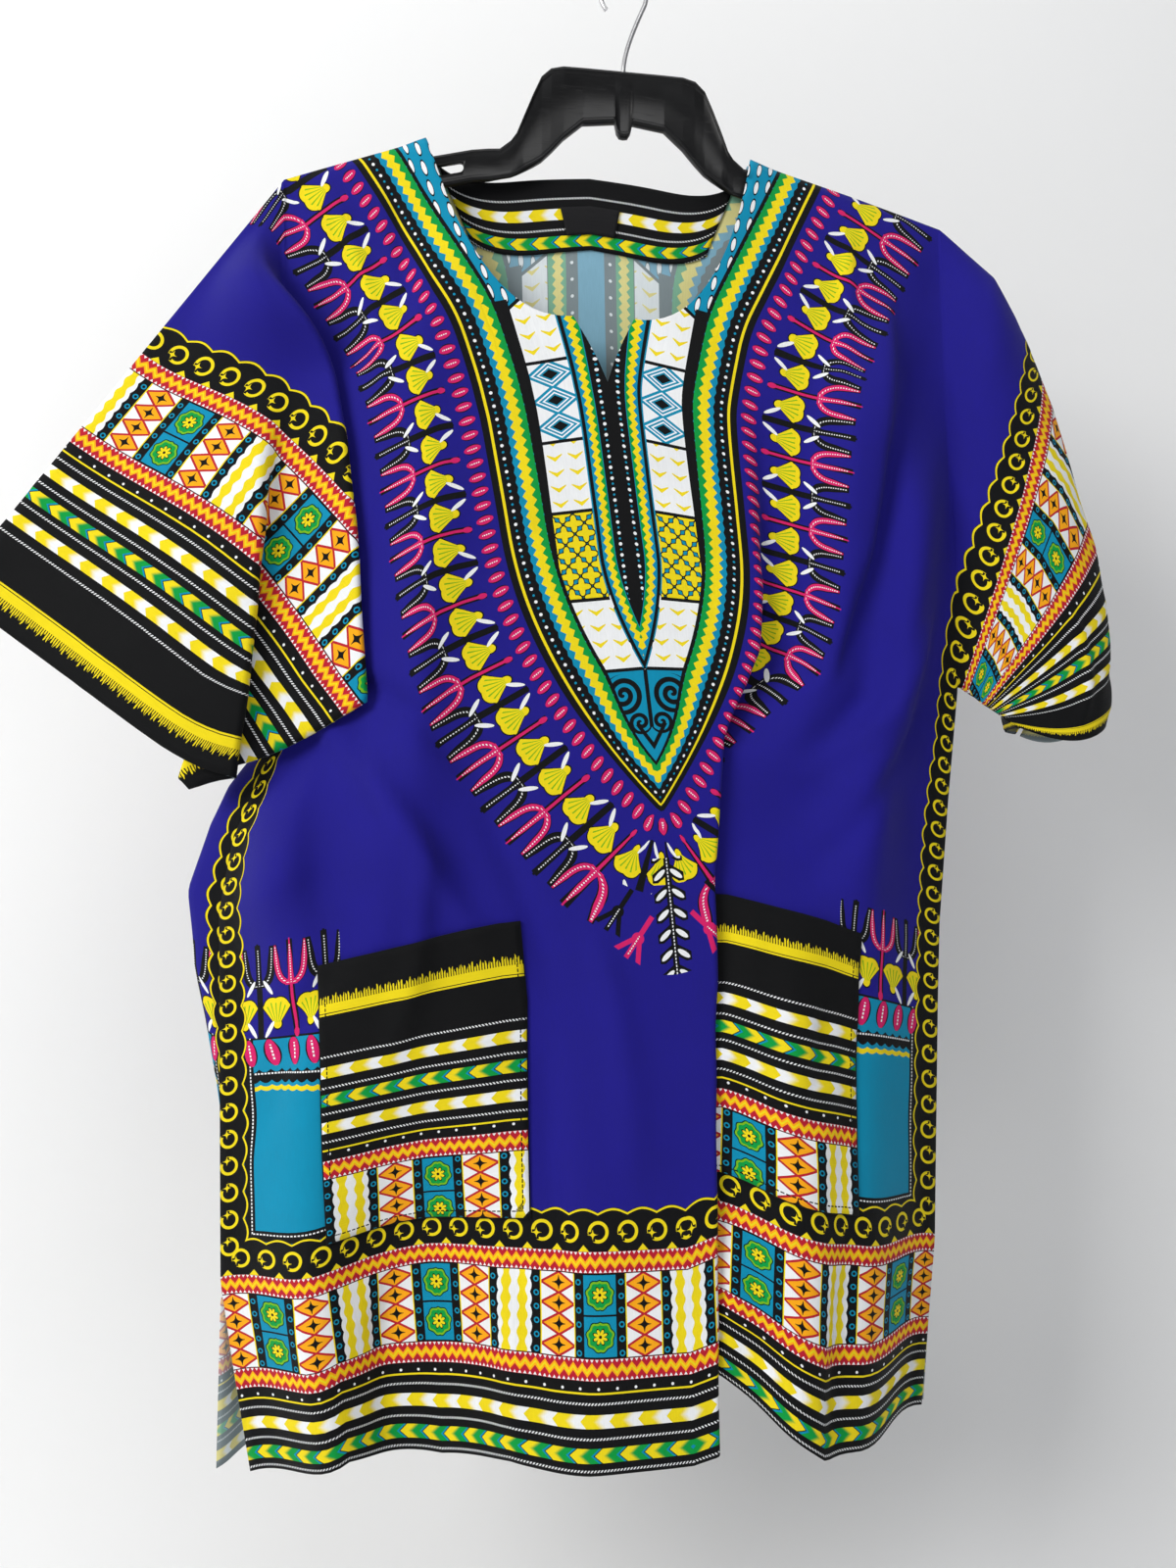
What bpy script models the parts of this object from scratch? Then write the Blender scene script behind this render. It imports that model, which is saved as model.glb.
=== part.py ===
"""A dashiki shirt on a moulded hanger: thin cloth walls laid from their flat cut, and the hanger inside them.

Metres, X to the viewer's right, Y away from the viewer, Z up. The origin is the top of the hook's inside,
where the hanger hangs. A cloth point is named by its place on the flat cut: u across from the centre line,
negative to the viewer's left, and v down from the shoulder edge.
"""

import math

import bmesh
import bpy
import numpy as np

# ---- the flat cut ----
BODY_HALF = 0.327  # centre line to side seam
CLOTH_HALF = 0.536  # centre line to cuff
CUFF_DEPTH = 0.270  # shoulder edge to underarm seam at the cuff
ARMHOLE_DEPTH = 0.315  # the same at the body
FRONT_LENGTH = 0.912
BACK_LENGTH = 0.930
SLIT_TOP = 0.785  # where the side seams end
NECK_HALF = 0.069
NECK_DROP = 0.148
NOTCH_HALF = 0.012
NOTCH_FOOT = 0.197
BACK_NECK_DROP = 0.037
WALL = 0.0012
SEAM_GAP = 0.0003
LAYER_HALF = 0.0012  # half the distance between a sleeve's two layers
SEAM_HALF = (WALL + SEAM_GAP) * 0.5
POCKET_LIFT = 0.0015
FACING_LIFT = 0.0015

# ---- where the cloth hangs ----
TIP_LEFT = (-0.2415, -0.165)
TIP_RIGHT = (0.2415, -0.172)
TIP_LEFT_U = 0.178  # the cut's place on the left tip of the hanger
TIP_RIGHT_U = 0.223
TOP_Z = -0.108  # the centre line carried up to the shoulder edge
OPEN_SLOPE = 0.25  # how the two sides of the neck fall apart
# half the distance between the layers over the hanger, by the drop from the shoulder edge
SHOULDER_V = (0.0, 0.006, 0.030, 0.11)
SHOULDER_Y = ((WALL + SEAM_GAP) * 0.5, 0.0044, 0.0072, 0.012)

# the hanger: distance from the middle, top, foot, half thickness
HANGER_PROFILE = (
    (0.000, -0.0710, -0.1080, 0.0036), (0.004, -0.0710, -0.1180, 0.0036), (0.008, -0.0710, -0.1090, 0.0036),
    (0.030, -0.0710, -0.1120, 0.0036), (0.044, -0.0712, -0.1240, 0.0036), (0.053, -0.0735, -0.1340, 0.0036),
    (0.060, -0.0800, -0.1410, 0.0036), (0.066, -0.0930, -0.1450, 0.0036), (0.073, -0.1100, -0.1490, 0.0036),
    (0.078, -0.1220, -0.1520, 0.0024), (0.082, -0.1275, -0.1540, 0.0018), (0.090, -0.1340, -0.1560, 0.0018),
    (0.098, -0.1350, -0.1580, 0.0026), (0.110, -0.1370, -0.1600, 0.0033),
    (0.130, -0.1420, -0.1650, 0.0028), (0.148, -0.1465, -0.1690, 0.0028),
    (0.180, -0.1553, -0.1770, 0.0033), (0.210, -0.1636, -0.1830, 0.0026),
    (0.226, -0.1682, -0.1840, 0.0015), (0.231, -0.1710, -0.1800, 0.0006),
)
HANGER_TILT = 0.018  # drop to the right of the whole hanger
# the slots through its arms: place from the middle, size
SLOTS = (((0.1290, -0.1530), (0.026, 0.05, 0.0075)), ((0.1850, -0.1680), (0.020, 0.05, 0.0070)))
HOOK_INNER = 0.0150
WIRE_RADIUS = 0.00175
HOOK_FOOT = -0.0700
LABEL_LIFT = 0.0012
LABEL_WALL = 0.0005

# v, sideways place of the centre line
CENTRE_X = ((0.0, -0.0245), (0.197, -0.0150), (0.397, 0.009), (0.49, 0.019), (0.62, 0.029), (0.94, 0.026))
BACK_CENTRE_X = ((0.0, -0.0245), (0.10, -0.022), (0.30, -0.018), (0.45, -0.024), (0.94, -0.018))
# v, depth of the front's centre line
FRONT_Y = (
    (0.0, -0.006), (0.10, -0.016), (0.20, -0.024), (0.30, -0.030), (0.40, -0.037),
    (0.50, -0.045), (0.62, -0.060), (0.75, -0.084), (0.94, -0.124),
)
BACK_Y = ((0.0, 0.007), (0.06, 0.012), (0.30, 0.020), (0.60, 0.018), (0.94, 0.012))
# drop below the centre line, by v, at the places across that follow
DROP_U_LEFT = (0.0, 0.067, 0.120, TIP_LEFT_U, 0.250, BODY_HALF)
DROP_U_RIGHT = (0.0, 0.067, 0.150, TIP_RIGHT_U, BODY_HALF)
DROP_LEFT = (
    (0.0, 0.0, 0.022, 0.0387, 0.057, 0.057, 0.057), (ARMHOLE_DEPTH, 0.0, 0.008, 0.018, 0.036, 0.063, 0.092),
    (0.60, 0.004, 0.006, 0.010, 0.019, 0.033, 0.050), (0.80, 0.006, 0.006, 0.008, 0.010, 0.018, 0.034),
    (0.94, 0.003, 0.006, 0.004, 0.013, 0.002, 0.028),
)
DROP_RIGHT = (
    (0.0, 0.0, 0.022, 0.0436, 0.064, 0.064), (ARMHOLE_DEPTH, 0.0, 0.008, 0.026, 0.048, 0.094),
    (0.60, 0.004, -0.012, -0.010, 0.008, 0.042), (0.80, 0.006, -0.016, -0.020, 0.006, 0.030),
    (0.94, 0.003, -0.011, -0.0525, 0.0023, 0.0115),
)
# v, place across of the left side edge, and its depth, front and back
LEFT_X = (
    (0.0, -0.2415), (ARMHOLE_DEPTH, -0.237), (0.351, -0.240), (0.39, -0.256), (0.449, -0.2754),
    (0.506, -0.2840), (0.625, -0.283), (0.785, -0.281), (0.84, -0.272), (0.94, -0.254),
)
LEFT_Y = ((0.0, 0.0), (ARMHOLE_DEPTH, -0.004), (0.60, -0.014), (0.785, -0.024), (0.94, -0.044))
LEFT_BACK_X = ((0.0, -0.2415), (0.785, -0.281), (0.94, -0.288))
LEFT_BACK_Y = ((0.785, -0.024), (0.94, -0.002))
RIGHT_X = (
    (0.0, 0.2415), (0.20, 0.2485), (ARMHOLE_DEPTH, 0.2530), (0.42, 0.244), (0.53, 0.2360),
    (0.785, 0.2280), (0.94, 0.206),
)
RIGHT_Y = ((0.0, 0.0), (ARMHOLE_DEPTH, -0.006), (0.60, -0.014), (0.785, -0.022), (0.94, -0.045))
RIGHT_BACK_X = ((0.785, 0.2280), (0.94, 0.227))
RIGHT_BACK_Y = ((0.785, -0.022), (0.94, -0.004))

# v, how far the back rounds out beyond the left seam
LEFT_BULGE = (
    (0.315, 0.0), (0.36, 0.011), (0.42, 0.029), (0.50, 0.039), (0.56, 0.036), (0.65, 0.024),
    (0.80, 0.012), (0.94, 0.005),
)
BULGE_CLOTH = 0.085

# the deep fold right of the centre: v, where it starts, length of its hidden strand, share of a full turn
DEEP_FOLD = (
    (0.18, 0.094, 0.003, 0.0), (0.26, 0.092, 0.005, 0.25), (0.33, 0.090, 0.007, 0.50),
    (0.38, 0.082, 0.009, 0.72), (0.41, 0.068, 0.020, 0.92), (0.45, 0.048, 0.034, 1.0),
    (0.55, 0.030, 0.044, 1.0), (0.65, 0.022, 0.050, 1.0), (0.94, 0.014, 0.058, 1.0),
)
FOLD_BEND = 0.0085  # cloth taken by each turn of that fold

# soft folds: side, u at the top, u at the foot, v at the top, v at the foot, width, steepest slope
FRONT_FOLDS = (
    (+1, 0.190, 0.178, 0.05, 0.50, 0.020, 0.72),
    (+1, 0.262, 0.240, 0.06, 0.62, 0.020, 0.72),
    (+1, 0.196, 0.215, 0.50, 1.10, 0.022, 0.66),
    (-1, 0.270, 0.290, 0.10, 0.60, 0.022, 0.95),
    (-1, 0.128, 0.215, 0.16, 0.66, 0.024, 0.30),
    (-1, 0.085, 0.120, 0.50, 0.95, 0.020, -0.16),
    (-1, 0.180, 0.190, 0.62, 1.15, 0.042, -0.26),
    (-1, 0.262, 0.265, 0.66, 1.15, 0.026, 0.30),
)
BACK_FOLDS = (
    (+1, 0.085, 0.095, 0.10, 1.05, 0.020, -0.62),
    (+1, 0.160, 0.155, 0.12, 1.15, 0.019, -0.75),
    (+1, 0.235, 0.225, 0.14, 1.15, 0.018, -0.75),
    (-1, 0.080, 0.070, 0.15, 1.10, 0.022, -0.45),
    (-1, 0.150, 0.150, 0.10, 1.00, 0.020, -0.55),
    (-1, 0.225, 0.220, 0.20, 1.15, 0.020, -0.60),
)
SECTION_STEPS = 240

# ---- the left sleeve, folded over the body from the tip of the hanger ----
SLEEVE_TOP_ANGLE = math.radians(37.3)  # its shoulder edge, out from straight down
FOLD_LINE_ANGLE = math.radians(-0.7)
SLEEVE_BEND = 0.0101  # cloth taken by each turn
# distance from the tip, cloth from the fold line to the second turn
SECOND_TURN = ((0.0, 0.012), (0.06, 0.024), (0.155, 0.044), (0.26, 0.054), (0.37, 0.060), (0.46, 0.062))
PLEAT_SEAT = math.radians(52.0)  # where on the cut the pleat starts
PLEAT_TOP = 0.15

# ---- the right sleeve ----
# u, cloth carried behind the outline, then outline x and z, then lower edge x and z
RIGHT_SLEEVE = (
    (0.223, 0.000, 0.2415, -0.1720, 0.2415, -0.1720),
    (0.265, 0.000, 0.2840, -0.2060, 0.2460, -0.3000),
    (0.290, 0.000, 0.3000, -0.2330, 0.2500, -0.3900),
    (0.308, 0.022, 0.3090, -0.2520, 0.2510, -0.4450),
    (0.327, 0.050, 0.3190, -0.2720, 0.2530, -0.5170),
    (0.345, 0.070, 0.3310, -0.3000, 0.2590, -0.5210),
    (0.370, 0.095, 0.3440, -0.3400, 0.2660, -0.5250),
    (0.396, 0.115, 0.3580, -0.3900, 0.2710, -0.5290),
    (0.430, 0.140, 0.3750, -0.4500, 0.2780, -0.5330),
    (0.470, 0.160, 0.3790, -0.4950, 0.2860, -0.5380),
    (0.511, 0.172, 0.3790, -0.5280, 0.2940, -0.5430),
    (0.536, 0.175, 0.3740, -0.5440, 0.3000, -0.5470),
)


def smooth(x):
    """0 below 0, 1 above 1, and an S between them."""
    x = np.clip(x, 0.0, 1.0)
    return x * x * (3.0 - 2.0 * x)


def column(rows, x, k=1):
    """Reads column k of a table at x, its first column, with straight runs between the rows."""
    columns = list(zip(*rows))
    return np.interp(x, columns[0], columns[k])


def fold_slope(folds, side, t, v):
    """The soft folds' share of a section's slope; a positive slope runs away from the viewer."""
    slope = np.zeros_like(t)
    for fold_side, u_top, u_foot, v_top, v_foot, width, steep in folds:
        along = (v - v_top) / (v_foot - v_top)
        middle = u_top + (u_foot - u_top) * np.clip(along, 0.0, 1.0)
        fade = smooth(along * 3.0) * smooth((1.0 - along) * 3.0)
        s = (t - middle) / width
        slope += np.where(side == fold_side, steep * fade * s * np.exp(0.5 * (1.0 - s * s)), 0.0)
    return slope


def deep_fold_slope(side, t, v):
    """The sharp fold: the cloth turns back under itself, runs its strand, and turns on again."""
    start, strand, turn = (column(DEEP_FOLD, v, k) for k in (1, 2, 3))
    there = np.clip((t - start) / FOLD_BEND, 0.0, 1.0)
    back = np.clip((t - start - FOLD_BEND - strand) / FOLD_BEND, 0.0, 1.0)
    return np.where(side > 0, math.pi * turn * (there - back), 0.0)


def section(u, v, front):
    """How far a cloth point lies from its centre line, across and in depth, along its level section."""
    side = np.where(u < 0.0, -1.0, 1.0)[:, None]
    t = np.abs(u)[:, None] * np.linspace(0.0, 1.0, SECTION_STEPS + 1)[None, :]
    level = np.broadcast_to(v[:, None], t.shape)
    slope = fold_slope(FRONT_FOLDS if front else BACK_FOLDS, side, t, level)
    if front:
        slope += deep_fold_slope(side, t, level)
        sweep = smooth((level - 0.55) / 0.35) * smooth((t - 0.05) / 0.05) * (1.0 - smooth((t - 0.13) / 0.10))
        slope += np.where(side < 0, 0.42 * sweep, 0.0)
    step = np.abs(u) / SECTION_STEPS
    across = (np.cos(slope[:, 1:]) + np.cos(slope[:, :-1])) * 0.5
    depth = (np.sin(slope[:, 1:]) + np.sin(slope[:, :-1])) * 0.5
    return side[:, 0] * across.sum(axis=1) * step, depth.sum(axis=1) * step


def drop(u, v):
    """How far below its centre line a point hangs."""
    result = np.zeros_like(u)
    for rows, stations, mask in ((DROP_LEFT, DROP_U_LEFT, u < 0), (DROP_RIGHT, DROP_U_RIGHT, u >= 0)):
        values = [column(rows, v, k + 1) for k in range(len(stations))]
        value = values[0].copy()
        for k in range(len(stations) - 1):
            share = np.clip((np.abs(u) - stations[k]) / (stations[k + 1] - stations[k]), 0.0, 1.0)
            value = value + (values[k + 1] - values[k]) * share
        result = np.where(mask, value, result)
    return result


def edge_place(v, left):
    """The body's edge on the cut: from the hanger's tip to the underarm, then down the side seam."""
    tip = TIP_LEFT_U if left else TIP_RIGHT_U
    return tip + (BODY_HALF - tip) * np.clip(v / ARMHOLE_DEPTH, 0.0, 1.0)


def seam_distance(u, v):
    """Distance on the cut to the nearer of the side seam and the underarm seam."""
    a = np.abs(u)
    down = np.clip(v, ARMHOLE_DEPTH, None)
    side = np.hypot(a - BODY_HALF, v - down)
    run = CLOTH_HALF - BODY_HALF
    rise = CUFF_DEPTH - ARMHOLE_DEPTH
    share = ((a - BODY_HALF) * run + (v - ARMHOLE_DEPTH) * rise) / (run * run + rise * rise)
    share = np.clip(share, 0.0, 1.0)
    under = np.hypot(a - BODY_HALF - share * run, v - ARMHOLE_DEPTH - share * rise)
    return np.minimum(side, under)


def seam_part(u, v):
    """Half the distance between front and back near the seams: face to face at a seam, wider away from it."""
    distance = np.minimum(seam_distance(u, v), np.maximum(v, 0.0))
    return SEAM_HALF + (LAYER_HALF - SEAM_HALF) * smooth(distance / 0.006)


def centre_line(v, front):
    """Sideways place and depth of the centre line."""
    x = column(CENTRE_X if front else BACK_CENTRE_X, v)
    return x, column(FRONT_Y if front else BACK_Y, v)


def edge_point(v, left, front):
    """Where the body's edge hangs: x and depth."""
    split = smooth((v - SLIT_TOP) / 0.02) if not front else np.zeros_like(v)
    x = column(LEFT_X if left else RIGHT_X, v)
    y = column(LEFT_Y if left else RIGHT_Y, v)
    x = x + split * (column(LEFT_BACK_X if left else RIGHT_BACK_X, v) - x)
    y = y + split * (column(LEFT_BACK_Y if left else RIGHT_BACK_Y, v) - y)
    return x, y


def lie(x, reach):
    """Depth of the form that the folded left sleeve lies on."""
    return -0.030 * smooth((x - LEFT_X[0][1]) / 0.11) * smooth(reach / 0.20)


def body_point(u, v, front):
    """Where a point of the body hangs."""
    sign = -1.0 if front else 1.0
    fall = drop(u, v)
    x0, y0 = centre_line(v, front)
    y0 = column(FRONT_Y if front else BACK_Y, np.clip(v + fall, 0.0, 0.94))
    across, depth = section(u, v, front)
    spread = OPEN_SLOPE * 0.5 * (np.sqrt((NOTCH_FOOT - v) ** 2 + 0.02**2) + NOTCH_FOOT - v)
    if not front:
        spread = spread * (1.0 - 0.65 * smooth(v / 0.15))
    x = x0 + spread * np.tanh(u / 0.012) + across
    y = y0 + depth
    z = TOP_Z - v - fall
    for left in (True, False):
        mask = (u < 0.0) if left else (u >= 0.0)
        edge_u = edge_place(v, left)
        edge_across, edge_depth = section(np.where(left, -edge_u, edge_u), v, front)
        aim_x, aim_y = edge_point(v, left, front)
        gap_x = aim_x - (x0 + spread * (-1.0 if left else 1.0) + edge_across)
        start = 0.42 * edge_u
        share = np.clip((np.abs(u) - start) / (edge_u - start), 0.0, 1.0)
        x = np.where(mask, x + gap_x * share, x)
        if left and not front:
            round_out = np.clip((edge_u - np.abs(u)) / BULGE_CLOTH, 0.0, 1.0)
            x = np.where(mask, x - column(LEFT_BULGE, v) * np.sin(math.pi * round_out) ** 2 * 1.35, x)
        near = np.clip((edge_u - np.abs(u)) / 0.075, 0.0, 1.0)
        rest = aim_y + sign * seam_part(u, v)
        y = np.where(mask, y + (rest - y0 - edge_depth) * (1.0 - smooth(near)), y)
        if left and front:
            # under the folded sleeve the body keeps to the form the sleeve lies on
            inward = edge_u - np.abs(u)
            take = (1.0 - smooth((inward - 0.110) / 0.07)) * (1.0 - smooth((v - 0.40) / 0.10))
            y = np.where(mask, y * (1.0 - take) + (rest + lie(x, v)) * take, y)
    return np.stack([x, y, z], axis=1)


def sleeve_fold_places(r):
    """Cloth from the fold line to the second turn, the pleat's strand, and cloth to the pleat."""
    first = math.atan2(BODY_HALF - TIP_LEFT_U, ARMHOLE_DEPTH)
    second = column(SECOND_TURN, r)
    free = r * (math.pi / 2.0 - first - SLEEVE_TOP_ANGLE + FOLD_LINE_ANGLE)
    strand = np.clip((free - 2.0 * second) * 0.5 - SLEEVE_BEND, 0.0, None)
    return second, strand, r * (PLEAT_SEAT - first) - strand * 0.3


def sleeve_turn(r, t):
    """The left sleeve's heading at a distance r from the tip after t of cloth from the fold line."""
    second, strand, seat = sleeve_fold_places(r)
    full = smooth((r - 0.030) / 0.13)
    there = np.clip(t / SLEEVE_BEND, 0.0, 1.0)
    back = np.clip((t - second) / SLEEVE_BEND, 0.0, 1.0)
    slope = -math.pi * full * (there - back)
    pleat = smooth((r - PLEAT_TOP) / 0.15)
    there = np.clip((t - seat) / SLEEVE_BEND, 0.0, 1.0)
    back = np.clip((t - seat - SLEEVE_BEND - strand) / SLEEVE_BEND, 0.0, 1.0)
    return slope - math.pi * pleat * (there - back)


def left_sleeve_middle(u, v):
    """The left sleeve's middle surface, between its two layers."""
    across = np.maximum(-u - TIP_LEFT_U, 0.0)
    r = np.hypot(across, v) + 1e-7
    first = math.atan2(BODY_HALF - TIP_LEFT_U, ARMHOLE_DEPTH)
    angle = np.arctan2(across, np.maximum(v, 0.0))
    t = r * np.clip(angle - first, 0.0, None)
    whole = r * (math.pi / 2.0 - first)
    steps = np.linspace(0.0, 1.0, SECTION_STEPS + 1)[None, :]

    def run(length):
        slope = sleeve_turn(r[:, None], length[:, None] * steps)
        step = length / SECTION_STEPS
        along = ((np.cos(slope[:, 1:]) + np.cos(slope[:, :-1])) * 0.5).sum(axis=1) * step
        depth = ((np.sin(slope[:, 1:]) + np.sin(slope[:, :-1])) * 0.5).sum(axis=1) * step
        return along, depth

    along, depth = run(t)
    end_along, end_depth = run(whole)
    aim = r * (SLEEVE_TOP_ANGLE - FOLD_LINE_ANGLE)
    share = np.clip(t / whole, 0.0, 1.0)
    late = smooth((share - 0.45) / 0.55)
    along = along + (aim - end_along) * share
    depth = depth - end_depth * late
    turn = FOLD_LINE_ANGLE + along / r
    hidden = np.exp(-(((angle - PLEAT_SEAT - 0.02) / 0.10) ** 2)) * smooth((r - 0.30) / 0.12)
    reach = r * (1.0 + 0.03 * share - 0.05 * hidden)
    x = TIP_LEFT[0] - reach * np.sin(turn)
    z = TIP_LEFT[1] - reach * np.cos(turn)
    near_r = np.minimum(r, ARMHOLE_DEPTH / math.cos(first))
    line_v = near_r * math.cos(first)
    line_x = column(LEFT_X, line_v) - TIP_LEFT[0] + near_r * math.sin(FOLD_LINE_ANGLE)
    line_z = TOP_Z - line_v - drop(-edge_place(line_v, True), line_v)
    line_z = line_z - TIP_LEFT[1] + near_r * math.cos(FOLD_LINE_ANGLE)
    x = x + line_x * (1.0 - late)
    z = z + line_z * (1.0 - late)
    line_y = column(LEFT_Y, line_v)
    y = line_y * (1.0 - late) + depth + lie(x, r * math.cos(first))
    return np.stack([x, y, z], axis=1)


def left_sleeve_point(u, v, front):
    """A layer of the left sleeve, set off from the middle surface along its normal."""
    small = 0.0004
    middle = left_sleeve_middle(u, v)
    du = left_sleeve_middle(u - small, v) - middle
    dv = left_sleeve_middle(u, v + small) - middle
    normal = np.cross(du, dv)
    normal = normal / (np.linalg.norm(normal, axis=1)[:, None] + 1e-12)
    lift = seam_part(u, v)
    first = math.atan2(BODY_HALF - TIP_LEFT_U, ARMHOLE_DEPTH)
    angle = np.arctan2(np.maximum(-u - TIP_LEFT_U, 0.0), v)
    near = smooth((angle - first) * np.hypot(-u - TIP_LEFT_U, v) / 0.001)
    flat = np.array([0.0, -1.0, 0.0])
    normal = flat * (1.0 - near[:, None]) + normal * near[:, None]
    return middle + normal * (lift if front else -lift)[:, None]


def right_sleeve_point(u, v, front):
    """The right sleeve, rolled back over its outline."""
    behind, x_out, z_out, x_low, z_low = (column(RIGHT_SLEEVE, u, k) for k in (1, 2, 3, 4, 5))
    line_v = (u - TIP_RIGHT_U) / (BODY_HALF - TIP_RIGHT_U) * ARMHOLE_DEPTH
    seam_v = ARMHOLE_DEPTH + (CUFF_DEPTH - ARMHOLE_DEPTH) * (u - BODY_HALF) / (CLOTH_HALF - BODY_HALF)
    foot = np.where(u < BODY_HALF, line_v, seam_v) + 1e-9
    body_x, body_y = edge_point(np.clip(line_v, 0.0, ARMHOLE_DEPTH), False, True)
    body_z = TOP_Z - line_v - drop(np.clip(u, 0.0, BODY_HALF), line_v)
    x_low = np.where(u < BODY_HALF, body_x, x_low)
    z_low = np.where(u < BODY_HALF, body_z, z_low)
    span = np.maximum(foot - behind, 1e-6)
    share = (v - behind) / span
    grow = smooth((u - TIP_RIGHT_U) / 0.06)
    depth_low = np.where(u < BODY_HALF, body_y, -0.010)
    close = seam_part(u, v)
    turned = smooth(np.where(front, behind - v, behind) / 0.02)
    if front:
        front_share = np.clip(share, 0.0, 1.0)
        place = np.where(share >= 0.0, front_share, -0.45 * share)
        belly = 0.020 * grow * np.sin(math.pi * front_share**0.7)
        y = depth_low * front_share - belly + 0.012 * grow * turned + close * (2.0 * turned - 1.0)
    else:
        start = 0.45 * behind / span
        start = start + 0.0042 * smooth(behind / 0.004) / np.hypot(x_low - x_out, z_low - z_out + 1e-6)
        q = np.clip(v / foot, 0.0, 1.0)
        place = start + (1.0 - start) * q
        y = depth_low * q + grow * (0.012 * turned * (1.0 - q) + 0.018 * np.sin(math.pi * q)) + close
    x = x_out + (x_low - x_out) * place
    z = z_out + (z_low - z_out) * place
    sag = smooth((u - 0.43) / 0.08) * 0.012 * np.sin(math.pi * np.clip(place, 0.0, 1.0))
    return np.stack([x, y, z - sag], axis=1)


def cloth_point(u, v, front):
    """Where any point of the cut hangs."""
    u = np.asarray(u, float)
    v = np.asarray(v, float)
    body = np.abs(u) <= np.where(u < 0.0, edge_place(v, True), edge_place(v, False)) + 1e-9
    result = np.zeros((len(u), 3))
    sign = -1.0 if front else 1.0
    if body.any():
        ub, vb = u[body], v[body]
        point = body_point(ub, vb, front)
        take = 1.0 - smooth(vb / 0.11)
        inward = np.where(ub < 0.0, edge_place(vb, True), edge_place(vb, False)) - np.abs(ub)
        ease = smooth(inward / 0.035)
        rim = np.interp(vb, SHOULDER_V, SHOULDER_Y)
        rim = seam_part(ub, vb) * (1.0 - ease) + rim * ease
        point[:, 1] = point[:, 1] * (1.0 - take) + rim * sign * take
        clear = 0.0045 * smooth((NECK_HALF + 0.025 - np.abs(ub)) / 0.035) * take
        point[:, 1] += sign * clear
        result[body] = point
    left = (~body) & (u < 0.0)
    if left.any():
        result[left] = left_sleeve_point(u[left], v[left], front)
    right = (~body) & (u >= 0.0)
    if right.any():
        result[right] = right_sleeve_point(u[right], v[right], front)
    return result


# ---- meshes laid on the cut ----
# rows from the shoulder to the underarm, as shares of the way
ARM_ROWS = np.concatenate([[0.0, 0.019], np.linspace(0.0, 1.0, 12)[1:]])
NECK_STEPS = (0.27, 0.50, 0.70, 0.85, 0.93, 1.0)  # columns from the notch to the end of the neck
POCKET_ROWS = 6
BACK_ROWS = 12
POCKET_IN = 0.104
POCKET_OUT = 0.250
POCKET_TOP = 0.565
POCKET_FOOT = 0.7625
LEFT_OUTER = (1, 7, 3)
RIGHT_OUTER = (1, 8, 3)


def neck_edge(u, front):
    """Top of the cloth at a place across."""
    a = np.clip(np.abs(u) / NECK_HALF, 0.0, 1.0)
    if not front:
        return BACK_NECK_DROP * (1.0 - a**2.6) ** 0.5
    curve = NECK_DROP * (1.0 - a**2.6) ** 0.4
    notch = NOTCH_FOOT - (NOTCH_FOOT - NECK_DROP) * np.clip(np.abs(u) / NOTCH_HALF, 0.0, 1.0)
    return np.where(np.abs(u) < NOTCH_HALF, notch, curve)


def outer_columns(first, edge, v, counts):
    """Columns from a place to the edge, held to the pocket's sides at the pocket's levels."""
    n_near, n_pocket, n_far = counts
    hold = smooth((v - 0.10) / 0.40)
    near = (first + (edge - first) * n_near / sum(counts)) * (1.0 - hold) + POCKET_IN * hold
    far = (edge - (edge - first) * n_far / sum(counts)) * (1.0 - hold) + POCKET_OUT * hold
    return np.concatenate([
        np.linspace(first, near, n_near + 1)[1:],
        np.linspace(near, far, n_pocket + 1)[1:],
        np.linspace(far, edge, n_far + 1)[1:],
    ])


def half_columns(v, right, front, counts):
    """Places across of one half's columns at a level, from the centre line to the edge."""
    n_neck, n_inner, n_bend, n_strand, n_outer = counts
    edge = float(edge_place(np.array([v]), not right)[0])
    k = np.arange(n_neck + 1) / n_neck
    neck = NECK_HALF * np.sin(0.5 * math.pi * k) ** 0.9
    if front:
        neck[1] = NOTCH_HALF
        neck[2:] = NOTCH_HALF + (NECK_HALF - NOTCH_HALF) * np.array(NECK_STEPS)
    if right and front:
        start, strand = float(column(DEEP_FOLD, v)), float(column(DEEP_FOLD, v, 2))
        ends = [start, start + FOLD_BEND, start + FOLD_BEND + strand, start + 2 * FOLD_BEND + strand]
        even = np.linspace(0.0, ends[0] * n_neck / (n_neck + n_inner), n_neck + 1)
        mix = smooth(v / 0.42)
        inner = neck * (1.0 - mix) + even * mix
        parts = [inner]
        parts.append(np.linspace(inner[-1], ends[0], n_inner + 1)[1:])
        parts.append(np.linspace(ends[0], ends[1], n_bend + 1)[1:])
        parts.append(np.linspace(ends[1], ends[2], n_strand + 1)[1:])
        parts.append(np.linspace(ends[2], ends[3], n_bend + 1)[1:])
        parts.append(outer_columns(ends[3], edge, v, RIGHT_OUTER))
        return np.concatenate(parts)
    total = n_neck + n_outer
    even = np.linspace(0.0, 0.085 if front else edge * n_neck / total, n_neck + 1)
    mix = smooth(v / 0.42)
    inner = neck * (1.0 - mix) + even * mix
    if front:
        return np.concatenate([inner, outer_columns(inner[-1], edge, v, LEFT_OUTER)])
    return np.concatenate([inner, np.linspace(inner[-1], edge, n_outer + 1)[1:]])


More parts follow.
